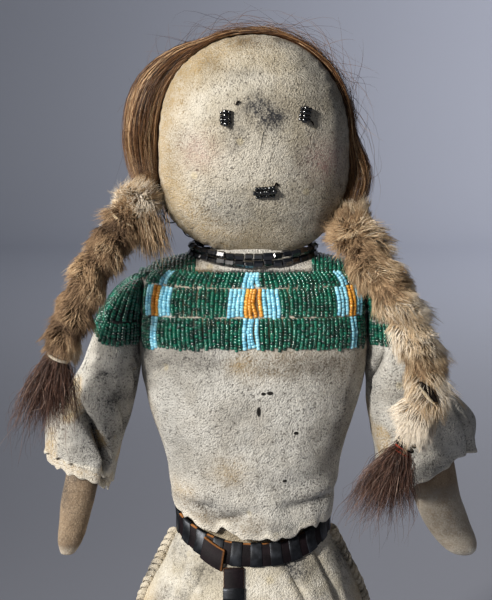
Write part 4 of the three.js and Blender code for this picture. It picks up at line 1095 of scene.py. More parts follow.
def lock(side, route, wide, deep, count, seed):
    """Hairs that fill a lock: each keeps its place in the lock's section."""
    rng = np.random.default_rng(seed)
    path = spline(route, 22)
    _, across, depth = frame_along(path)
    share = np.linspace(0, 1, 22)
    clump = rng.integers(0, CLUMPS, count)
    r = np.sqrt(rng.uniform(0.3, 1, CLUMPS))[clump] + rng.normal(0, 0.06, count)
    a = rng.uniform(0, TAU, CLUMPS)[clump] + rng.normal(0, 0.12, count)
    wander = 0.3 * lumps(xyz(7.0 * np.arange(count)[:, None], share * 30, 0), 9, seed)
    u, v = (r * np.cos(a))[:, None] + wander, (r * np.sin(a))[:, None]
    paths = path + (u * wide(share))[..., None] * across + (v * deep(share))[..., None] * depth
    wave = 0.35 * np.sin(share * 14 + rng.uniform(0, 6, (count, 1)))[..., None]
    paths = paths + wave * rng.normal(size=(count, 1, 3))
    tone = 0.46 + 0.28 * rng.normal(size=count) + 0.24 * rng.normal(size=CLUMPS)[clump]
    # painted shade: the lock on the doll's left is painted darker
    return paths, 0.27 * rng.uniform(0.6, 1.4, count), tone - (0.12 if side == LEFT else 0)


def rim(side, count, seed):
    """Hairs along the seam of the head, from the parting down to one lock."""
    rng = np.random.default_rng(seed)
    one = (count, 1)
    t = np.linspace(0, 1, 16)[None]
    start = np.pi / 2 - side * rng.uniform(-0.25, 0.9, one)
    end = np.radians(RIM_TO[side]) + rng.normal(0, 0.12, one)
    grow = rng.uniform(0.1, 3.0 if side == RIGHT else 1.5, one) + 0.5 * np.sin(t * 9 + rng.uniform(0, 6, one))
    grow = grow * (0.3 + 0.7 * smooth(t / 0.5))
    paths = head_point(mix(start, end, t), 1.0, 1, grow)
    paths[..., 1] += rng.uniform(-2.2, 5.0, one) - 0.4 * grow
    width = 0.25 * rng.uniform(0.6, 1.4, count)
    # painted shade: the rim hairs on the doll's left are painted darker
    return paths, width, 0.42 + 0.28 * rng.normal(size=count) - (0.1 if side == LEFT else 0)


def wisps(count, seed, stand, run):
    """Stray hairs that lift off the head along its outline and curl."""
    rng = np.random.default_rng(seed)
    t = np.linspace(0, 1, 12)[None]
    one = (count, 1)
    least, most = np.radians(-38), np.radians(218)
    start = rng.uniform(np.radians(-25), np.radians(205), one)
    way = rng.choice([-1, 1], one) * rng.uniform(*run, one) / HEAD_TALL
    lift = rng.uniform(*stand, one)
    rise = t ** rng.uniform(0.8, 2.0, one)
    rise = rise + 0.3 * t * np.sin(t * rng.uniform(3, 9, one) + rng.uniform(0, 6, one))
    paths = head_point(np.clip(start + way * t, least, most), 0.999, 1, 1.0 + lift * rise)
    back = rng.uniform(-2, 6, one)
    paths[..., 1] += back + 0.5 * lift * t * np.sin(t * rng.uniform(2, 7, one) + rng.uniform(0, 6, one))
    paths[..., 2] = np.minimum(paths[..., 2], TALLEST_HAIR)
    return paths, 0.2, 0.35 + 0.25 * rng.normal(size=count)


def at_head(degrees, grow):
    """Places just behind the seam of the head, at these angles round it."""
    return [tuple(head_point(np.radians(a), 1.0, 1, grow) + np.array([0, 3.0, 0])) for a in degrees]


# Locks: route, half widths across and through, and the number of hairs
LOCKS = {
    RIGHT: ([*at_head((92, 105, 118), 0.9), (-35.5, 4, 449), (-46.5, 4, 439.5), (-53.5, 4, 427),
             (-56.5, 3, 410.8), (-55.5, 1, 397.9), (-53, -4, 386)],
            through([(0, 0.8), (0.2, 1.8), (0.35, 4.4), (0.55, 6.8), (0.8, 7.3), (1, 5.5)]),
            through([(0, 3), (0.35, 7), (0.75, 9), (1, 6)]), 1400),
    LEFT: ([*at_head((88, 72, 54, 36, 18, 2), 0.5), (52.5, 2, 390), (48, -6, 374)],
           through([(0, 0.7), (0.3, 0.8), (0.6, 1.2), (0.86, 6.2), (1, 5)]),
           through([(0, 2), (0.4, 3.5), (0.8, 7), (1, 6)]), 800),
}
scalp()
for side, settings in LOCKS.items():
    name = SIDE_NAMES[side]
    hair_piece(f"hair_back_{name}", *combed(side, 2200, 60 + side), HAIR, "head", "hair", 62)
    hair_piece(f"hair_rim_{name}", *rim(side, 600, 66 + side), HAIR, "head", "hair", 64)
    hair_piece(f"hair_lock_{name}_strands", *lock(side, *settings, 70 + side), HAIR, "head", "hair", 63,
               [f"hair_lock_{name}"])
hair_piece("hair_wisps", *wisps(150, 80, (4, 17), (12, 60)), HAIR, "head", "hair", 81)
hair_piece("hair_frizz", *wisps(520, 82, (0.5, 4.5), (8, 36)), HAIR, "head", "hair", 83)


# Braids in fur

# Routes from the root of a braid: x, share of the way forward to BRAID_Y, z
BRAID_ROUTES = {
    RIGHT: [(0, 0, 0), (-4, 0.1, -7), (-10, 0.45, -15), (-19, 0.8, -27), (-28, 1, -45), (-35.5, 1, -62),
            (-40.5, 1, -77)],
    LEFT: [(0, 0, 0), (3.5, 0.2, -9), (10, 0.55, -22), (23, 0.9, -41), (31, 1, -60), (36, 1, -80),
           (29, 1, -101), (24.5, 1, -111)],
}
TASSELS = {RIGHT: ((-8.0, 0.0, -38.0), 28.0), LEFT: ((-12.0, 0.0, -36.0), 30.0)}
FUR_END = 0.955
FUR_TAPER = {RIGHT: ([0, 0.05, 0.15, 0.27, 0.86, FUR_END], [0.75, 1.25, 1.35, 1.0, 1.0, 0.85]),
             LEFT: ([0, 0.06, 0.16, 0.3, 0.45, 0.86, FUR_END], [0.85, 1.25, 1.3, 1.2, 1.1, 1.15, 0.75])}
FUR_LENGTH = {RIGHT: 6.0, LEFT: 6.6}
TUFTS = 460
# The lap of the wrap: its edge, how far it stands out, the bare room beside it, the end of the fur, and the
# offset and half width of a black tube of painted shade in the opening under the lip
SLITS = {RIGHT: ([(-70.5, 0, 376.5), (-64.5, 0, 371.5), (-57.5, 0, 369.0)], 9.8, 3.4, FUR_END,
                 (-0.3, 1.4, -1.5), 1.6),
         LEFT: ([(77.5, 0, 297.0), (82.0, 0, 291.0), (86.0, 0, 287.0)], 9.9, 4.8, 0.93, (0.9, 2.0, 1.2), 2.3)}


def braid_path(side):
    x0, y0, z0 = BRAID_TOP[side]
    route = [(x0 + x, mix(y0, BRAID_Y, reach), z0 + z) for x, reach, z in BRAID_ROUTES[side]]
    return spline(route, BRAID_STEPS + 1)


def slit_line(side):
    """The edge of the skin where the wrap laps over itself, on the front of the fur."""
    edge, out = SLITS[side][:2]
    line = spline(edge, 24)
    path = braid_path(side)
    at = np.abs(line[:, None, 2] - path[None, :, 2]).argmin(1)
    line[:, 1] = path[at, 1] - np.interp(at / BRAID_STEPS, *FUR_TAPER[side]) * out
    return line


def fur_hairs(side, share, angle, length, stand, seed):
    """Roots, middles, tips and tones of fur that stands off the wrap and lies down the braid."""
    path = braid_path(side)
    at = np.rint(share * BRAID_STEPS).astype(int)
    along, across, depth = (v[at] for v in frame_along(path))
    out = across * np.cos(angle)[:, None] + depth * np.sin(angle)[:, None]
    spiral = np.cos(TAU * (share * 6.5 - angle / TAU) + 1.5 * lumps(path[at], 20, seed))
    taper = np.interp(share, *FUR_TAPER[side])
    root = path[at] + out * (5.4 * taper * (1 + 0.2 * spiral))[:, None]
    sway_of = drift(root, 4.5, 300)
    lay = np.interp(share, [0, 0.05, 0.15, 1], [-1.2, -0.5, 0.55, 0.8])[:, None]
    curls = [1.2, 1.1, 0.7] if side == RIGHT else [0.7, 0.7, 0.7]
    curl = np.interp(share, [0, 0.2, 0.3], curls)[:, None] * sway_of
    lean = unit(along * lay + out * stand + curl)
    half = (0.5 * length * (1 + 0.2 * lumps(root, 8, 305) + 0.16 * spiral) * np.sqrt(taper))[:, None]
    middle = root + lean * half
    fall = unit(lean + 0.5 * along * np.sign(lay) + np.array([0, 0, -0.2]) + 0.5 * curl)
    if side == RIGHT:
        tone = 0.34 + 0.16 * np.cos(angle - 0.4)
        tone = tone + 0.55 * smooth((0.27 - share) / 0.1) + 0.3 * lumps(root, 9, 306)
    else:
        tone = 0.7 + 0.06 * np.cos(angle) + 0.1 * smooth((share - 0.4) / 0.2)
        tone = tone + 0.3 * smooth((share - 0.78) / 0.12) + 0.4 * lumps(root, 11, 306)
    # painted shade: the fur is painted darker in the spiral creases of the wrap and paler on its swells
    return root, middle, middle + fall * half, tone + 0.12 * spiral


def fur(side, count, length, stand, width, seed):
    """Fur in tufts: the hairs of a tuft lean to its tip."""
    rng = np.random.default_rng(seed)
    tuft_share, tuft_angle = rng.uniform(0, FUR_END, TUFTS), rng.uniform(0, TAU, TUFTS)
    mine = rng.integers(0, TUFTS, count)
    share = np.clip(tuft_share[mine] + rng.normal(0, 0.017, count), 0, FUR_END)
    angle = tuft_angle[mine] + rng.normal(0, 0.32, count)
    long = length * rng.uniform(0.75, 1.35, TUFTS)
    _, tuft_middle, tuft_tip, tuft_tone = fur_hairs(side, tuft_share, tuft_angle, long, stand, seed)
    own = length * rng.uniform(0.8, 1.2, count)
    root, middle, tip, tone = fur_hairs(side, share, angle, own, stand, seed)
    pull = rng.uniform(0.35, 0.8, (count, 1))
    middle = mix(middle, tuft_middle[mine], 0.45 * pull) + rng.normal(0, 0.25, (count, 3))
    tip = mix(tip, tuft_tip[mine], pull) + rng.normal(0, 0.4, (count, 3))
    tone = mix(tone, tuft_tone[mine] + 0.14 * rng.normal(size=TUFTS)[mine], 0.6) + rng.normal(0, 0.08, count)
    room, end = SLITS[side][2:4]
    gap = np.linalg.norm(tip[:, None] - slit_line(side)[None], axis=-1).min(1)
    clear = (gap > room) & (share < end)
    paths = np.stack([root, middle, tip], 1)
    return paths[clear], (width * rng.uniform(0.7, 1.3, count))[clear], tone[clear]


def slit(side):
    """A pale lip of skin over a black tube of painted shade in the opening under it."""
    name = SIDE_NAMES[side]
    offset, wide = SLITS[side][4:]
    line = slit_line(side)
    thin = np.sin(np.linspace(0.15, np.pi - 0.15, len(line)))
    p, f = closed_rings(tube(line, 0.9 * thin, 0.7 * thin, 8))
    piece(f"wrap_lip_{name}", p, f, LACE_HIDE, f"braid_{name}", "pale_hide",
          values={"warm": np.full(len(p), 0.4)})
    # painted shade: a black tube stands in for the shaded opening under the lip
    slit_shade = closed_rings(tube(line + np.array(offset), wide * thin, 1.3 * thin, 8))
    piece(f"wrap_slit_shade_{name}", *slit_shade, BLACK_THREAD, f"braid_{name}", "fur")


def wrap_base(side):
    """The skin under the fur."""
    name = SIDE_NAMES[side]
    path = braid_path(side)[4:116]
    radius = 5.6 * np.interp(np.linspace(0, 1, len(path)) * FUR_END, *FUR_TAPER[side])
    rings = tube(path, radius, radius, 20)
    points, faces = closed_rings(pushed(rings, 0.8 * lumps(rings, 5, 90 + side), path[:, None], 1))
    tone = (0.3 if side == RIGHT else 0.45) + 0.2 * lumps(points, 4, 91)
    piece(f"fur_skin_{name}", points, faces, FUR, f"braid_{name}", "fur", [f"braid_hair_{name}"],
          uv=strand_map(tone, np.full(len(points), 0.6)), closed=False)


def tassel(side, count, seed):
    """The loose end of a braid's hair."""
    rng = np.random.default_rng(seed)
    one = (count, 1, 1)
    reach, width = TASSELS[side]
    t = np.linspace(0, 1, 12)[None, :, None]
    spread = rng.normal(0, 1, (3, count)).T * (0.3 * width, 0.14 * width, 1.6)
    most = np.array([0.52 * width, 0.24 * width, np.inf])
    spread = np.clip(spread, -most, most)
    root = braid_path(side)[-1] + np.array([0, 0, 2.0]) + spread * (0.2, 0.45, 0.8)
    length = rng.uniform(0.5, 1.0, one) + 0.4 * rng.uniform(0, 1, one) ** 12
    goal = (np.array(reach) + spread)[:, None] * length
    wave = 2.5 * rng.normal(size=(count, 1, 3))
    wave = wave * np.sin(t * rng.uniform(5, 11, one) + rng.uniform(0, 6, one))
    paths = root[:, None] + goal * (1, 1, 0) * t ** 0.72 + goal * (0, 0, 1) * t + wave * t ** 0.5
    return paths, 0.22 * rng.uniform(0.6, 1.4, count), 0.42 + 0.28 * rng.normal(size=count)


def tie(name, side, shares, radius, width, paint, slot, stands=()):
    """Turns of thong or thread round the end of a braid."""
    path = braid_path(side)
    vectors = frame_along(path)
    angle = TAU * np.arange(28) / 28
    parts = []
    for k, share in enumerate(shares):
        i = round(share * BRAID_STEPS)
        lean = 0.5 * np.sin(angle + k)
        parts.append(coil(path[i], *(v[i] for v in vectors), (radius, radius), lean, width / 2, width / 2,
                          False))
    piece(name, *together(parts), paint, f"braid_{SIDE_NAMES[side]}", slot, stands)


def tuft(count, seed):
    """A loose tail of fur under the wad of the right braid."""
    rng = np.random.default_rng(seed)
    t = np.linspace(0, 1, 6)[None, :, None]
    root = np.array([-50.5, -25.0, 372.0]) + rng.normal(0, 1, (count, 3)) * (3.2, 3.0, 2.0)
    goal = np.array([2.5, -1.0, -17.0]) + rng.normal(0, 1, (count, 3)) * (2.6, 2.6, 2.8)
    paths = root[:, None] + goal[:, None] * t + np.array([0, -2.0, 0]) * np.sin(t * np.pi)
    return paths, 0.3, 0.5 + 0.16 * rng.normal(size=count)


for side in (RIGHT, LEFT):
    name = SIDE_NAMES[side]
    body = f"braid_{name}"
    wrap_base(side)
    short, long = FUR_LENGTH[side], 1.4 * FUR_LENGTH[side]
    hair_piece(f"fur_{name}", *fur(side, 14000, short, 0.95, 0.4, 100 + side), FUR, body, "fur", 101,
               [f"fur_wrap_{name}"])
    hair_piece(f"fur_{name}_long", *fur(side, 5000, long, 0.8, 0.22, 104 + side), FUR, body, "fur", 102)
    slit(side)
    hair_piece(f"tassel_{name}", *tassel(side, 1300, 110 + side), DARK_HAIR, body, "hair", 111,
               [f"braid_tassel_{name}"])
hair_piece("fur_tuft", *tuft(420, 108), FUR, "braid_right", "fur", 109)
tie("tie_right", RIGHT, (0.955, 0.972, 0.99), 5.0, 1.5, LACE_HIDE, "pale_hide", ["wrap_tie_right"])
tie("tie_left", LEFT, (0.95, 0.962, 0.974), 4.6, 1.2, BLACK_THREAD, "hair", ["wrap_tie_left"])
tie("tie_left_red", LEFT, (0.984, 0.996), 4.2, 1.0, RED_THREAD, "pale_hide")


# Sleeves, arms and the beads over the sleeve heads

sleeve_inner = {RIGHT: through([(0, 0), (0.4, 0.01), (0.62, 0.08), (1, 0.27)]),
                LEFT: through([(0, 0), (0.4, 0), (0.62, -0.02), (1, -0.04)])}
sleeve_outer = through([(0, 0.05), (0.05, 0.19), (0.18, 0.39), (0.4, 0.58), (0.58, 0.79), (0.76, 0.97),
                        (1, 1)])
sleeve_deep = through([(0, 0.42), (0.05, 0.68), (0.18, 0.9), (0.4, 1), (1, 1)])
sleeve_fold = through([(0, 0), (0.35, 0), (1, 1)])

# Creases of the sleeves: shares down the sleeve, turns that the crease passes, half width and depth
SLEEVE_CREASES = {
    RIGHT: [((0.28, 0.46, 0.6, 0.71, 0.92), (0.97, 0.94, 0.84, 0.73, 0.62), 0.034, 11.5),
            ((0.36, 0.46, 0.58), (0.64, 0.57, 0.5), 0.03, 6.0),
            ((0.3, 0.38, 0.46), (0.66, 0.57, 0.5), 0.03, 5.0),
            ((0.5, 0.62, 0.74), (0.7, 0.62, 0.53), 0.03, 3.0), ((0.3, 1.0), (0.3, 0.3), 0.06, 3.0)],
    LEFT: [((0.35, 1.0), (0.93, 0.945), 0.03, 5.5), ((0.24, 0.36, 0.46), (0.74, 0.66, 0.56), 0.035, 4.5),
           ((0.3, 1.0), (0.2, 0.2), 0.06, 2.5)],
}
# Darker spots on the right sleeve: x, z, half width, half height and strength
SLEEVE_DARK_SPOTS = {RIGHT: [(-74, 293, 9, 3, 0.6), (-66, 280, 10, 4, 0.4), (-62, 262, 9, 6, 0.55),
                       (-80, 258, 8, 8, 0.4)],
               LEFT: []}
# Lanes of beads on a sleeve head: shares of its top and foot, and how far they rise on the outer side
SLEEVE_LANES = ((0.004, 0.18, 0.045), (0.188, 0.29, 0.07))


def sway(side, down):
    """How far the left arm swings out."""
    return ARM_SWAY * (down / ARM_LENGTH) ** 2 if side == LEFT else 0 * down


def outer_side(turn):
    return np.maximum(0, np.cos(TAU * turn)) ** 2


def hem_rise(side, turn):
    front = 0.085 * bump(turn, 0.68, 0.24) if side == RIGHT else 0
    return 0.16 * (0.5 + 0.5 * np.cos(TAU * (turn + 0.04))) ** 2 + front


def sleeve_of(side):
    def surface(turn, share, out):
        inner = ARMHOLE + sleeve_inner[side](share) * SLEEVE_FLARE
        outer = ARMHOLE + sleeve_outer(share) * SLEEVE_FLARE
        fold = 1 - 0.09 * sleeve_fold(share) * (1 + np.cos(3 * TAU * turn + np.pi))
        half = (outer - inner) / 2
        x, y = oval(turn, fold * half + out, fold * sleeve_deep(share) * SLEEVE_DEPTH / 2 + out, 2.2)
        down = share * (1 - hem_rise(side, turn) * share ** 2) * SLEEVE_LENGTH
        return xyz(side * (outer - half + x + sway(side, down)), y, SLEEVE_TOP - down)
    return surface


def sleeve(side):
    name = SIDE_NAMES[side]
    columns, rows = 120, 64
    turn = turns_round(columns)
    ragged = lumps(xyz(turn * SLEEVE_ROUND, side * 40.0, 0), 4, 120)
    share = np.linspace(0.004, 1, rows)[:, None] * (1 + 0.014 * ragged + 0.015 * np.sin(TAU * turn * 2))
    base = sleeve_of(side)(turn, share, 0.0)
    push = 0.9 * lumps(base, 18, 121 + side) + 0.4 * lumps(base, 6, 123 + side)
    push += 1.4 * lumps(base, 8, 125) * bump(turn, 0.6, 0.14) * bump(share, 0.38, 0.28)
    crease = 0
    for shares, turns, half, deep in SLEEVE_CREASES[side]:
        at = np.interp(share, shares, turns) + 0.012 * lumps(base, 16, 126)
        fade = smooth((share - shares[0]) / 0.15) * smooth((shares[-1] + 0.1 - share) / 0.1)
        crease = crease + deep * fade * bump(turn, at, half)
    armpit = bump(turn, 0.5, 0.25) * smooth((0.4 - share) / 0.15) * smooth(share / 0.03)
    push = mix((push - crease) * smooth(share / 0.08), -0.8, armpit)
    push = push + 0.8 * smooth((share - 0.95) / 0.05) * ragged
    points = pushed(base, push, base.mean(1, keepdims=True), (1, 1, 0.05))
    if side == LEFT:
        flap = bump(turn, 0.09, 0.09) * bump(share, 0.78, 0.3)
        points = points + flap[..., None] * np.array([8.5, 2.0, 0.0])
    # painted shade: darker in the creases and at the armpit, besides random stains and darker spots
    soot_and_shade = 0.06 * crease + 0.2 * smooth((lumps(points, 19, 127) + 0.1) / 0.8)
    soot_and_shade = soot_and_shade + 0.5 * bump(turn, 0.56, 0.12) * bump(share, 0.3, 0.3) + near(points, SLEEVE_DARK_SPOTS[side])
    # painted shade: the hide under the sleeve's beads is painted dark, but not at the gap between its lanes
    shade_under_beads = smooth((0.27 - 0.075 * outer_side(turn) - share) / 0.02) * smooth((share - 0.01) / 0.02)
    values = {"soot_and_shade": soot_and_shade + 1.2 * shade_under_beads * (1 - bump(share, 0.184, 0.007)),
              "warm": 0.45 * smooth((lumps(points, 13, 128) - 0.35) / 0.3),
              "raw_and_light": smooth((share - 0.965) / 0.03) + 0 * turn}
    top = points[:1].mean(1, keepdims=True) + np.array([0, 0, 0.2])
    made = piece(f"sleeve_{name}_hide", np.concatenate([mix(points[:1], top, 0.97), points]),
                 grid_faces(rows + 1, columns), PALE_HIDE, f"arm_{name}", "pale_hide", [f"sleeve_{name}"],
                 thick=1.4, sub=1, values={key: np.concatenate([v[:1], v]) for key, v in values.items()})
    hems = [cuff(points[-16:, 58:], name)] if side == RIGHT else []


def cuff(hem, name):
    """A strip of hide sewn inside the front of the hem, which shows below it."""
    rows, columns = hem.shape[:2]
    share = np.linspace(0, 1, rows)[:, None]
    ends = np.minimum(np.arange(columns), np.arange(columns)[::-1]) / 8
    drop = share * (6.2 * smooth(ends) + 0.8 * lumps(hem * (1, 1, 0), 3, 134))
    points = pushed(hem, -1.9, hem.mean((0, 1)) + np.array([0, 30.0, 0]))
    points = points - np.array([0, 0, 1.0]) * drop[..., None]
    points = points + 0.4 * drift(points, 5, 135)
    raw_and_light = 0.6 * smooth((share - 0.85) / 0.15) + 0 * ends
    return piece(f"sleeve_{name}_cuff", points, grid_faces(rows, columns, wrap=False), PALE_HIDE,
                 f"arm_{name}", "pale_hide", thick=1.1, sub=1, values={"raw_and_light": raw_and_light, "warm": 0.3 + 0 * raw_and_light})


def sleeve_beads(side):
    name = SIDE_NAMES[side]
    surface = sleeve_of(side)
    rows = []
    for top, foot, slant in SLEEVE_LANES:
        turns = even_turns(surface, (top + foot) / 2, 0.6, 1.4)
        rows += lane_rows(surface, turns, lambda t: top - slant * outer_side(t) * (top > 0.1),
                          lambda t: foot - slant * outer_side(t), lambda i, n: GREEN, 0.004)
    y = np.linspace(-9, 9, 10)
    for inset in (0.9, 2.9):
        crown = SLEEVE_TOP + 0.4 - 0.015 * y ** 2 - 0.3 * inset
        rows.append((xyz(side * (ARMHOLE + inset), y, crown), GREEN))
    strung(f"sleeve_{name}_beads", SEED, *bead_rows(rows), SEED_PAINTS, f"arm_{name}", "green_beads",
           130 + side, [f"sleeve_beads_{name}"])


arm_centre = through([(0.15, 0.2), (0.3, 0.3), (0.5, 0.48), (0.74, 0.64), (1, 0.8)])
ARM_ROOT = [(0.15, 0.385), (0.2, 0.42), (0.5, 0.46)]
arm_half = {RIGHT: through([*ARM_ROOT, (0.72, 0.49), (0.86, 0.44), (0.95, 0.35), (1, 0.19)]),
            LEFT: through([*ARM_ROOT, (0.72, 0.5), (0.86, 0.5), (0.93, 0.45), (0.98, 0.33), (1, 0.18)])}
# ARM_PAINTED_SHADE is painted shade: the right hand's hide is painted darker all over
ARM_FULLNESS, ARM_PAINTED_SHADE = {RIGHT: 0.9, LEFT: 1.22}, {RIGHT: 0.14, LEFT: 0}


def arm(side):
    name = SIDE_NAMES[side]
    columns = 40
    share = np.r_[np.linspace(0.15, 0.9, 34), np.linspace(0.915, 1, 12)][:, None]
    turn = turns_round(columns)
    down = share * ARM_LENGTH
    half = HAND_WIDTH * (ARM_FULLNESS[side] * arm_half[side](share))
    x, y = oval(turn, half, 0.85 * half, 2.2)
    seam = 0.5 * side_seams(turn, 0.03)
    middle = ARMHOLE + arm_centre(share) * SLEEVE_FLARE + sway(side, down)
    points = xyz(side * (middle + x * (1 + 0.05 * seam)), y, SLEEVE_TOP - down)
    push = 0.35 * lumps(points, 11, 131) + 0.2 * lumps(points, 4, 132)
    points = pushed(points, push, points.mean(1, keepdims=True))
    p, f = closed_rings(points)
    raw_and_light = np.append((0.35 * smooth((share - 0.955) / 0.03) + 0.45 * seam).ravel(), [0, 0.4])
    if side == LEFT:
        # painted light: the left hand is painted paler towards its end
        raw_and_light += np.append(np.repeat(0.4 * smooth((share - 0.7) / 0.1), columns), [0, 0.4])
        bend = -4.0 * smooth((share - 0.6) / 0.2) + 2.5 * smooth((share - 0.86) / 0.14)
    soot_and_shade = 0.35 * smooth((lumps(p, 12, 133) - 0.2) / 0.4) + ARM_PAINTED_SHADE[side]
    if side == LEFT:
        p[:, 0] += np.append(np.repeat(bend, columns), [0, -1.5])
    made = piece(f"arm_{name}_hide", p, f, TAN_HIDE, f"arm_{name}", "tan_hide", [f"arm_{name}"], sub=1,
                 values={"raw_and_light": raw_and_light, "soot_and_shade": soot_and_shade}, stuffed=0.8)


for side in (RIGHT, LEFT):
    sleeve(side)
    sleeve_beads(side)
    arm(side)


# Skirt, its lacing, and the belt

# Stains and painted shade on the skirt: x, z, half width, half height and strength; the spots at x 14 and x 26
# are painted shadow in the creases
SKIRT_SOOT_AND_SHADE = [(-38, 200, 8, 8, 0.4), (-29, 190, 10, 6, 0.3), (14, 200, 9, 4, 0.5), (26, 192, 8, 6, 0.35),
              (42, 197, 6, 12, 0.5), (50, 186, 6, 8, 0.4), (-12, 196, 5, 9, 0.3)]
# Creases of the skirt: turn, its slope down from a level, half width, middle level, half height and depth
SKIRT_CREASES = ((0.885, 0.0006, 205, 0.018, 178, 50, 4.0), (0.6, 0.0, 205, 0.03, 180, 45, 2.0),
                 (0.668, -0.0009, 207, 0.011, 194, 20, 1.6), (0.806, 0.0011, 207, 0.011, 194, 20, 2.6))


def skirt_hide():
    columns, rows = 240, 76
    turn = turns_round(columns)
    ragged = lumps(xyz(turn * SKIRT_ROUND, 0, 0), 5, 140)
    level = mix(BELT_TOP - 0.5, HEM_Z + 1.2 + 1.1 * ragged, np.linspace(0, 1, rows)[:, None])
    base = skirt(turn, level, 0.0)
    hang = smooth((205 - level) / 20)
    push = hang * (1.3 * lumps(base, 24, 141) + 0.5 * lumps(base, 8, 142)) - 0.35 * (1 - hang)
    for at, slope, start, half, middle, tall, deep in SKIRT_CREASES:
        push -= deep * bump(turn, at + (start - level) * slope, half) * bump(level, middle, tall)
    points = pushed(base, push)
    soot_and_shade = 0.55 * smooth((lumps(points, 22, 143) - 0.1) / 0.6) * smooth((lumps(points, 9, 144) + 0.7) / 1.4)
    values = {"soot_and_shade": soot_and_shade + near(points, SKIRT_SOOT_AND_SHADE), "warm": 0.3 * smooth((lumps(points, 28, 145)) / 0.8),
              "raw_and_light": smooth((HEM_Z + 5 - level) / 4)}
    made = piece("skirt_hide", points, grid_faces(rows, columns), SKIRT_HIDE, "trunk", "pale_hide",
                 ["skirt_front", "skirt_back"], thick=1.4, sub=1, values=values)


def lacing(side):
    """A thong whipped over the rolled seam of the skirt."""
    name = SIDE_NAMES[side]
    turn, lead = (0.5, 0) if side == RIGHT else (0.0, np.pi)
    line = skirt(np.full(400, turn), np.linspace(BELT_FOOT - 3.5, HEM_Z + 6.4, 400), 2.6)
    path = spline(line[::8], LACE_STEPS)
    vectors = frame_along(path)
    rng = np.random.default_rng(150 + side)
    wraps = round(lengths(path)[-1] / LACE_PITCH)
    angle = TAU * np.arange(24) / 24
    parts = []
    for k in range(wraps):
        i = round((k + 0.5) / wraps * (LACE_STEPS - 1))
        radius = 2.5 * rng.uniform(0.92, 1.08)
        lean = 2.6 * np.sin(angle + lead) + rng.normal(0, 0.2)
        parts.append(coil(path[i], *(v[i] for v in vectors), (1.05 * radius, 1.15 * radius), lean, 0.55, 1.6,
                          True))
    p, f = together([*parts, closed_rings(tube(path, 2.2, 2.2, 12))])
    piece(f"lacing_{name}", p, f, LACE_HIDE, "trunk", "lace_hide", [f"skirt_lacing_{name}"],
          values={"soot_and_shade": 0.5 * smooth((lumps(p, 9, 151) - 0.1) / 0.5)})


def band(turn, section):
    """A strap's section, (level, out) pairs, at a turn round the waist."""
    return [skirt(np.float64(turn), np.float64(level), np.float64(out)) for level, out in section]


def belt_turns(shares):
    """The turns at shares of the way round the belt."""
    return arc_turns(lambda turns: skirt(turns, np.full(len(turns), WAIST_Z), 0), shares)


def closed_strip(rings):
    """A bent plate through rings of its section, closed at both ends by faces over the section."""
    rings = np.asarray(rings)
    rows, columns = rings.shape[:2]
    faces = grid_faces(rows, columns).tolist()
    start = (rows - 1) * columns
    for i in range(columns // 2 - 1):
        a, b, c, d = i, i + 1, columns - 2 - i, columns - 1 - i
        faces += [[d, c, b, a], [start + a, start + b, start + c, start + d]]
    return rings.reshape(-1, 3), faces


BELT_SECTION = [(BELT_FOOT, 1.0), (BELT_FOOT, 2.2), (BELT_FOOT + 0.5, 2.55), (WAIST_Z, 2.6),
                (BELT_TOP - 0.5, 2.55), (BELT_TOP, 2.2), (BELT_TOP, 1.0), (BELT_TOP - 0.4, 0.6),
                (WAIST_Z, 0.55), (BELT_FOOT + 0.4, 0.6)]
BELT_RAW = np.array([0, 0, 0, 0, 0, 1, 1, 0.6, 0, 0])
# A strip folded round the belt: places along it in shares of the pitch, and how far it lifts there
STRIP_PLACES = np.array([0.21, 0.24, 0.37, 0.5, 0.63, 0.76, 0.79])
STRIP_LIFTS = (0.0, 0.12, 0.15, 0.15, 0.15, 0.12, 0.0)


def strip_section(lift):
    return [(BELT_FOOT - 0.25, 0.8), (BELT_FOOT - 0.28, 2.4), (BELT_FOOT, 2.72 + lift),
            (WAIST_Z, 2.78 + lift),
            (BELT_TOP, 2.72 + lift), (BELT_TOP + 0.28, 2.4), (BELT_TOP + 0.25, 0.8), (BELT_TOP + 0.1, 0.75),
            (BELT_TOP + 0.1, 2.2), (WAIST_Z, 2.45), (BELT_FOOT - 0.1, 2.2), (BELT_FOOT - 0.1, 0.75)]


def belt():
    columns = 220
    turns = np.arange(columns) / columns
    rings = np.array([band(turn, BELT_SECTION) for turn in turns])
    piece("belt_band", rings, grid_faces(columns, len(BELT_SECTION), wrap_rows=True), LEATHER, "trunk",
          "belt_leather", ["belt"], values={"raw_and_light": BELT_RAW * np.where(turns[:, None] < 0.77, 1, 0.15)})
    strips = []
    for strip in range(BELT_STRIPS):
        places = zip(belt_turns((strip + STRIP_PLACES) / BELT_STRIPS), STRIP_LIFTS)
        strips.append(closed_strip([band(turn, strip_section(lift)) for turn, lift in places]))
    piece("belt_strips", *together(strips), METAL, "trunk", "belt_leather")


def tongue():
    """The free end of the belt, lapped over it and drooping to its tip."""
    steps = 24
    slip = np.linspace(0, 1, steps)
    lie, thick, edge = 3.3, 1.8, 0.5
    rings = []
    for turn, s in zip(np.linspace(0.658, 0.704, steps), slip):
        top, foot = BELT_TOP - 0.6 - 3 * s, BELT_FOOT - 3 * s
        rings.append(band(turn, [(foot, lie), (foot, lie + 1.5), (foot + edge, lie + thick),
                                 (top - edge, lie + thick), (top, lie + 1.5), (top, lie)]))
    raw_and_light = np.append(np.tile([0, 0, 0, 0, 0.9, 0.9], steps), [0.3, 0.6])
    ends = np.append(np.repeat(smooth((slip - 0.94) / 0.06), 6), [0, 1])
    piece("belt_end", *closed_rings(rings), LEATHER, "trunk", "belt_leather", ["belt_tongue"],
          values={"raw_and_light": np.maximum(raw_and_light, 0.8 * ends)})


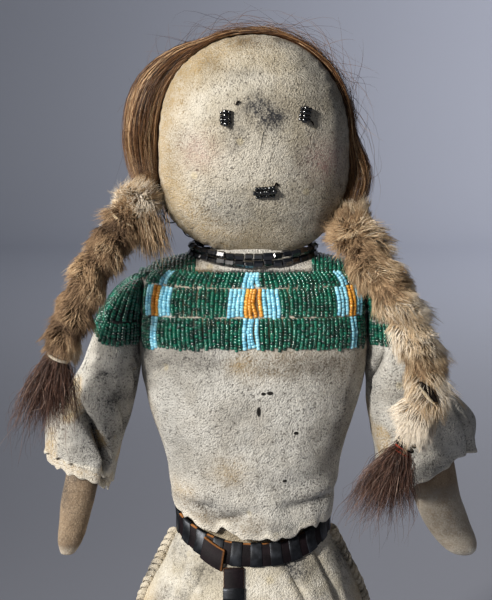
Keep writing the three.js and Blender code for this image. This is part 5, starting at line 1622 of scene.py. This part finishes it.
def strap():
    """The hanging strap, over its solid, with metal strips folded round it."""
    solid = np.array([v.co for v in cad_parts["belt_drop"].data.vertices]) / MM - SHIFT
    levels = np.unique(np.round(solid[:, 2], 2))[::-1]
    back = np.array([solid[np.abs(solid[:, 2] - z) < 0.02][:, 1].max() for z in levels])
    left, right = solid[:, 0].min(), solid[:, 0].max()
    middle, half = (left + right) / 2, (right - left) / 2

    def rings(zs, half, inner, outer):
        side = np.array([-1, -1, -0.94, 0.94, 1, 1])
        out = np.array([inner, outer * 0.85, outer, outer, outer * 0.85, inner])
        return xyz(middle + side * half, np.interp(-zs, -levels, back)[:, None] - out, zs[:, None])

    steps = 60
    strap_rings = rings(np.linspace(levels[0] - 0.6, levels[-1], steps), half - 0.3, 0.05, 1.75)
    raw_and_light = np.append(np.tile([0.3, 0.4, 0, 0, 0.25, 0.2], steps), [0, 1])
    piece("strap", *closed_rings(strap_rings), LEATHER, "belt_drop", "belt_leather", ["belt_drop"],
          values={"raw_and_light": raw_and_light})
    starts = np.arange(levels[0] - 0.77 * STRIP_PITCH, levels[-1] + STRIP_PITCH, -STRIP_PITCH)
    strips = [closed_rings(rings(np.linspace(start, start - 0.46 * STRIP_PITCH, 6), half, 0.02, 2.25))
              for start in starts]
    piece("strap_strips", *together(strips), METAL, "belt_drop", "belt_leather")


skirt_hide()
lacing(RIGHT)
lacing(LEFT)
belt()
tongue()
strap()


# Legs and moccasins

HIP_Z, ANKLE_Z = SEAT_Z - LEG_HALF - 0.3, SOLE + SHOE_HEIGHT / 2
leg_half = through([(ANKLE_Z, ANKLE_HALF), (mix(ANKLE_Z, HIP_Z, 0.45), mix(ANKLE_HALF, LEG_HALF, 0.75)),
                    (HIP_Z, LEG_HALF)])
shoe_draw = through([(0, 0), (0.3, 0.06), (0.55, 0.3), (0.78, 0.75), (1, 1)])
# Rings of a sole: level, and how far inside the outline
SOLE_RINGS = ((0.0, 0.8), (0.25, 0.25), (0.8, 0.0), (1.9, 0.0), (2.4, 0.2), (SOLE, 0.7))


def leg(side):
    name = SIDE_NAMES[side]
    z = np.r_[np.linspace(ANKLE_Z, HIP_Z, 48), HIP_Z + LEG_HALF * np.sin(np.linspace(0.12, 1.4, 10))]
    dome = LEG_HALF * np.sqrt(np.clip(1 - ((z - HIP_Z) / LEG_HALF) ** 2, 0, 1))
    radius = np.where(z <= HIP_Z, leg_half(z), dome)[:, None] - 0.3
    turn = turns_round(36)
    x, y = oval(turn, radius, radius, 2)
    points = xyz(side * STANCE / 2 + x, y, z[:, None])
    push = 0.3 * lumps(points, 9, 160) + 0.3 * bump(turn, 0.5 if side == RIGHT else 0.0, 0.04)
    p, f = closed_rings(pushed(points, push, points.mean(1, keepdims=True), 1))
    made = piece(f"leg_{name}_hide", p, f, PALE_HIDE, f"leg_{name}", "pale_hide", [f"leg_{name}"], sub=1,
                 values={"soot_and_shade": 0.4 * smooth(lumps(p, 14, 161))})


def shoe_outline(shrink, count=72):
    """Even points round the sole, from four curves."""
    toe, heel = shrink - TOE_SHARE * SHOE_LENGTH, (1 - TOE_SHARE) * SHOE_LENGTH - shrink
    ball = SHOE_WIDTH / 2 - shrink
    front = [(0, toe), (ball, toe), (ball * 1.25, toe * 0.35), (ball * 0.82, heel * 0.35)]
    back = [(ball * 0.82, heel * 0.35), (ball * 0.8, heel * 0.9), (ball * 0.5, heel), (0, heel)]
    half = np.array([front, back])
    t = np.linspace(0, 1, 40, endpoint=False)[:, None]
    fine = np.vstack([(1 - t) ** 3 * a + 3 * (1 - t) ** 2 * t * b + 3 * (1 - t) * t * t * c + t ** 3 * d
                      for a, b, c, d in (*half, *(half[::-1, ::-1] * (-1, 1)))])
    fine = np.vstack([fine, fine[:1]])
    return at_lengths(fine, np.linspace(0, lengths(fine)[-1], count, endpoint=False))


def moccasin(side):
    name = SIDE_NAMES[side]
    body = f"leg_{name}"
    centre = np.array([side * STANCE / 2, 0, 0])

    def placed(flat, z):
        return xyz(centre[0] + flat[..., 0], flat[..., 1], z)

    outline = shoe_outline(1.2)
    collar = unit(outline) * (ANKLE_HALF + 2.9)
    share = np.linspace(0, 1, 26)
    rings = np.array([placed(mix(outline, collar, shoe_draw(s)), UPPER_FOOT + SHOE_HEIGHT * s) for s in share])
    toe = smooth((-rings[..., 1] - 12) / 16)
    pucker = 0.5 * np.cos(TAU * turns_round(len(outline)) * TOE_PUCKERS) * toe
    pucker = pucker * bump(share, 0.34, 0.16)[:, None]
    rings = pushed(rings, 0.4 * lumps(rings, 8, 170) + pucker, centre)
    inside = pushed(rings[-1], -1.9, centre)
    p, f = closed_rings(np.concatenate([rings, [inside], [inside - (0, 0, 5)]]))
    piece(f"moccasin_{name}", p, f, SHOE_HIDE, body, "shoe_hide", [f"moccasin_upper_{name}"], sub=1,
          values={"soot_and_shade": 0.45 * smooth((lumps(p, 9, 171) - 0.1) / 0.5)})
    sole = [placed(shoe_outline(shrink), z) for z, shrink in SOLE_RINGS]
    piece(f"moccasin_{name}_sole", *closed_rings(sole), TAN_HIDE, body, "shoe_hide",
          [f"moccasin_sole_{name}"])
    seam = shoe_outline(0.5, 96)
    stitches = []
    for a, b in zip(seam[::2], seam[1::2]):
        path = spline(placed(np.array([a, (a + b) / 2, b]), np.array([2.5, 3.3, 2.5])), 6)
        stitches.append(closed_rings(tube(path, 0.35, 0.35, 6)))
    piece(f"moccasin_{name}_stitches", *together(stitches), PALE_THREAD, body, "lace_hide")


for side in (RIGHT, LEFT):
    leg(side)
    moccasin(side)
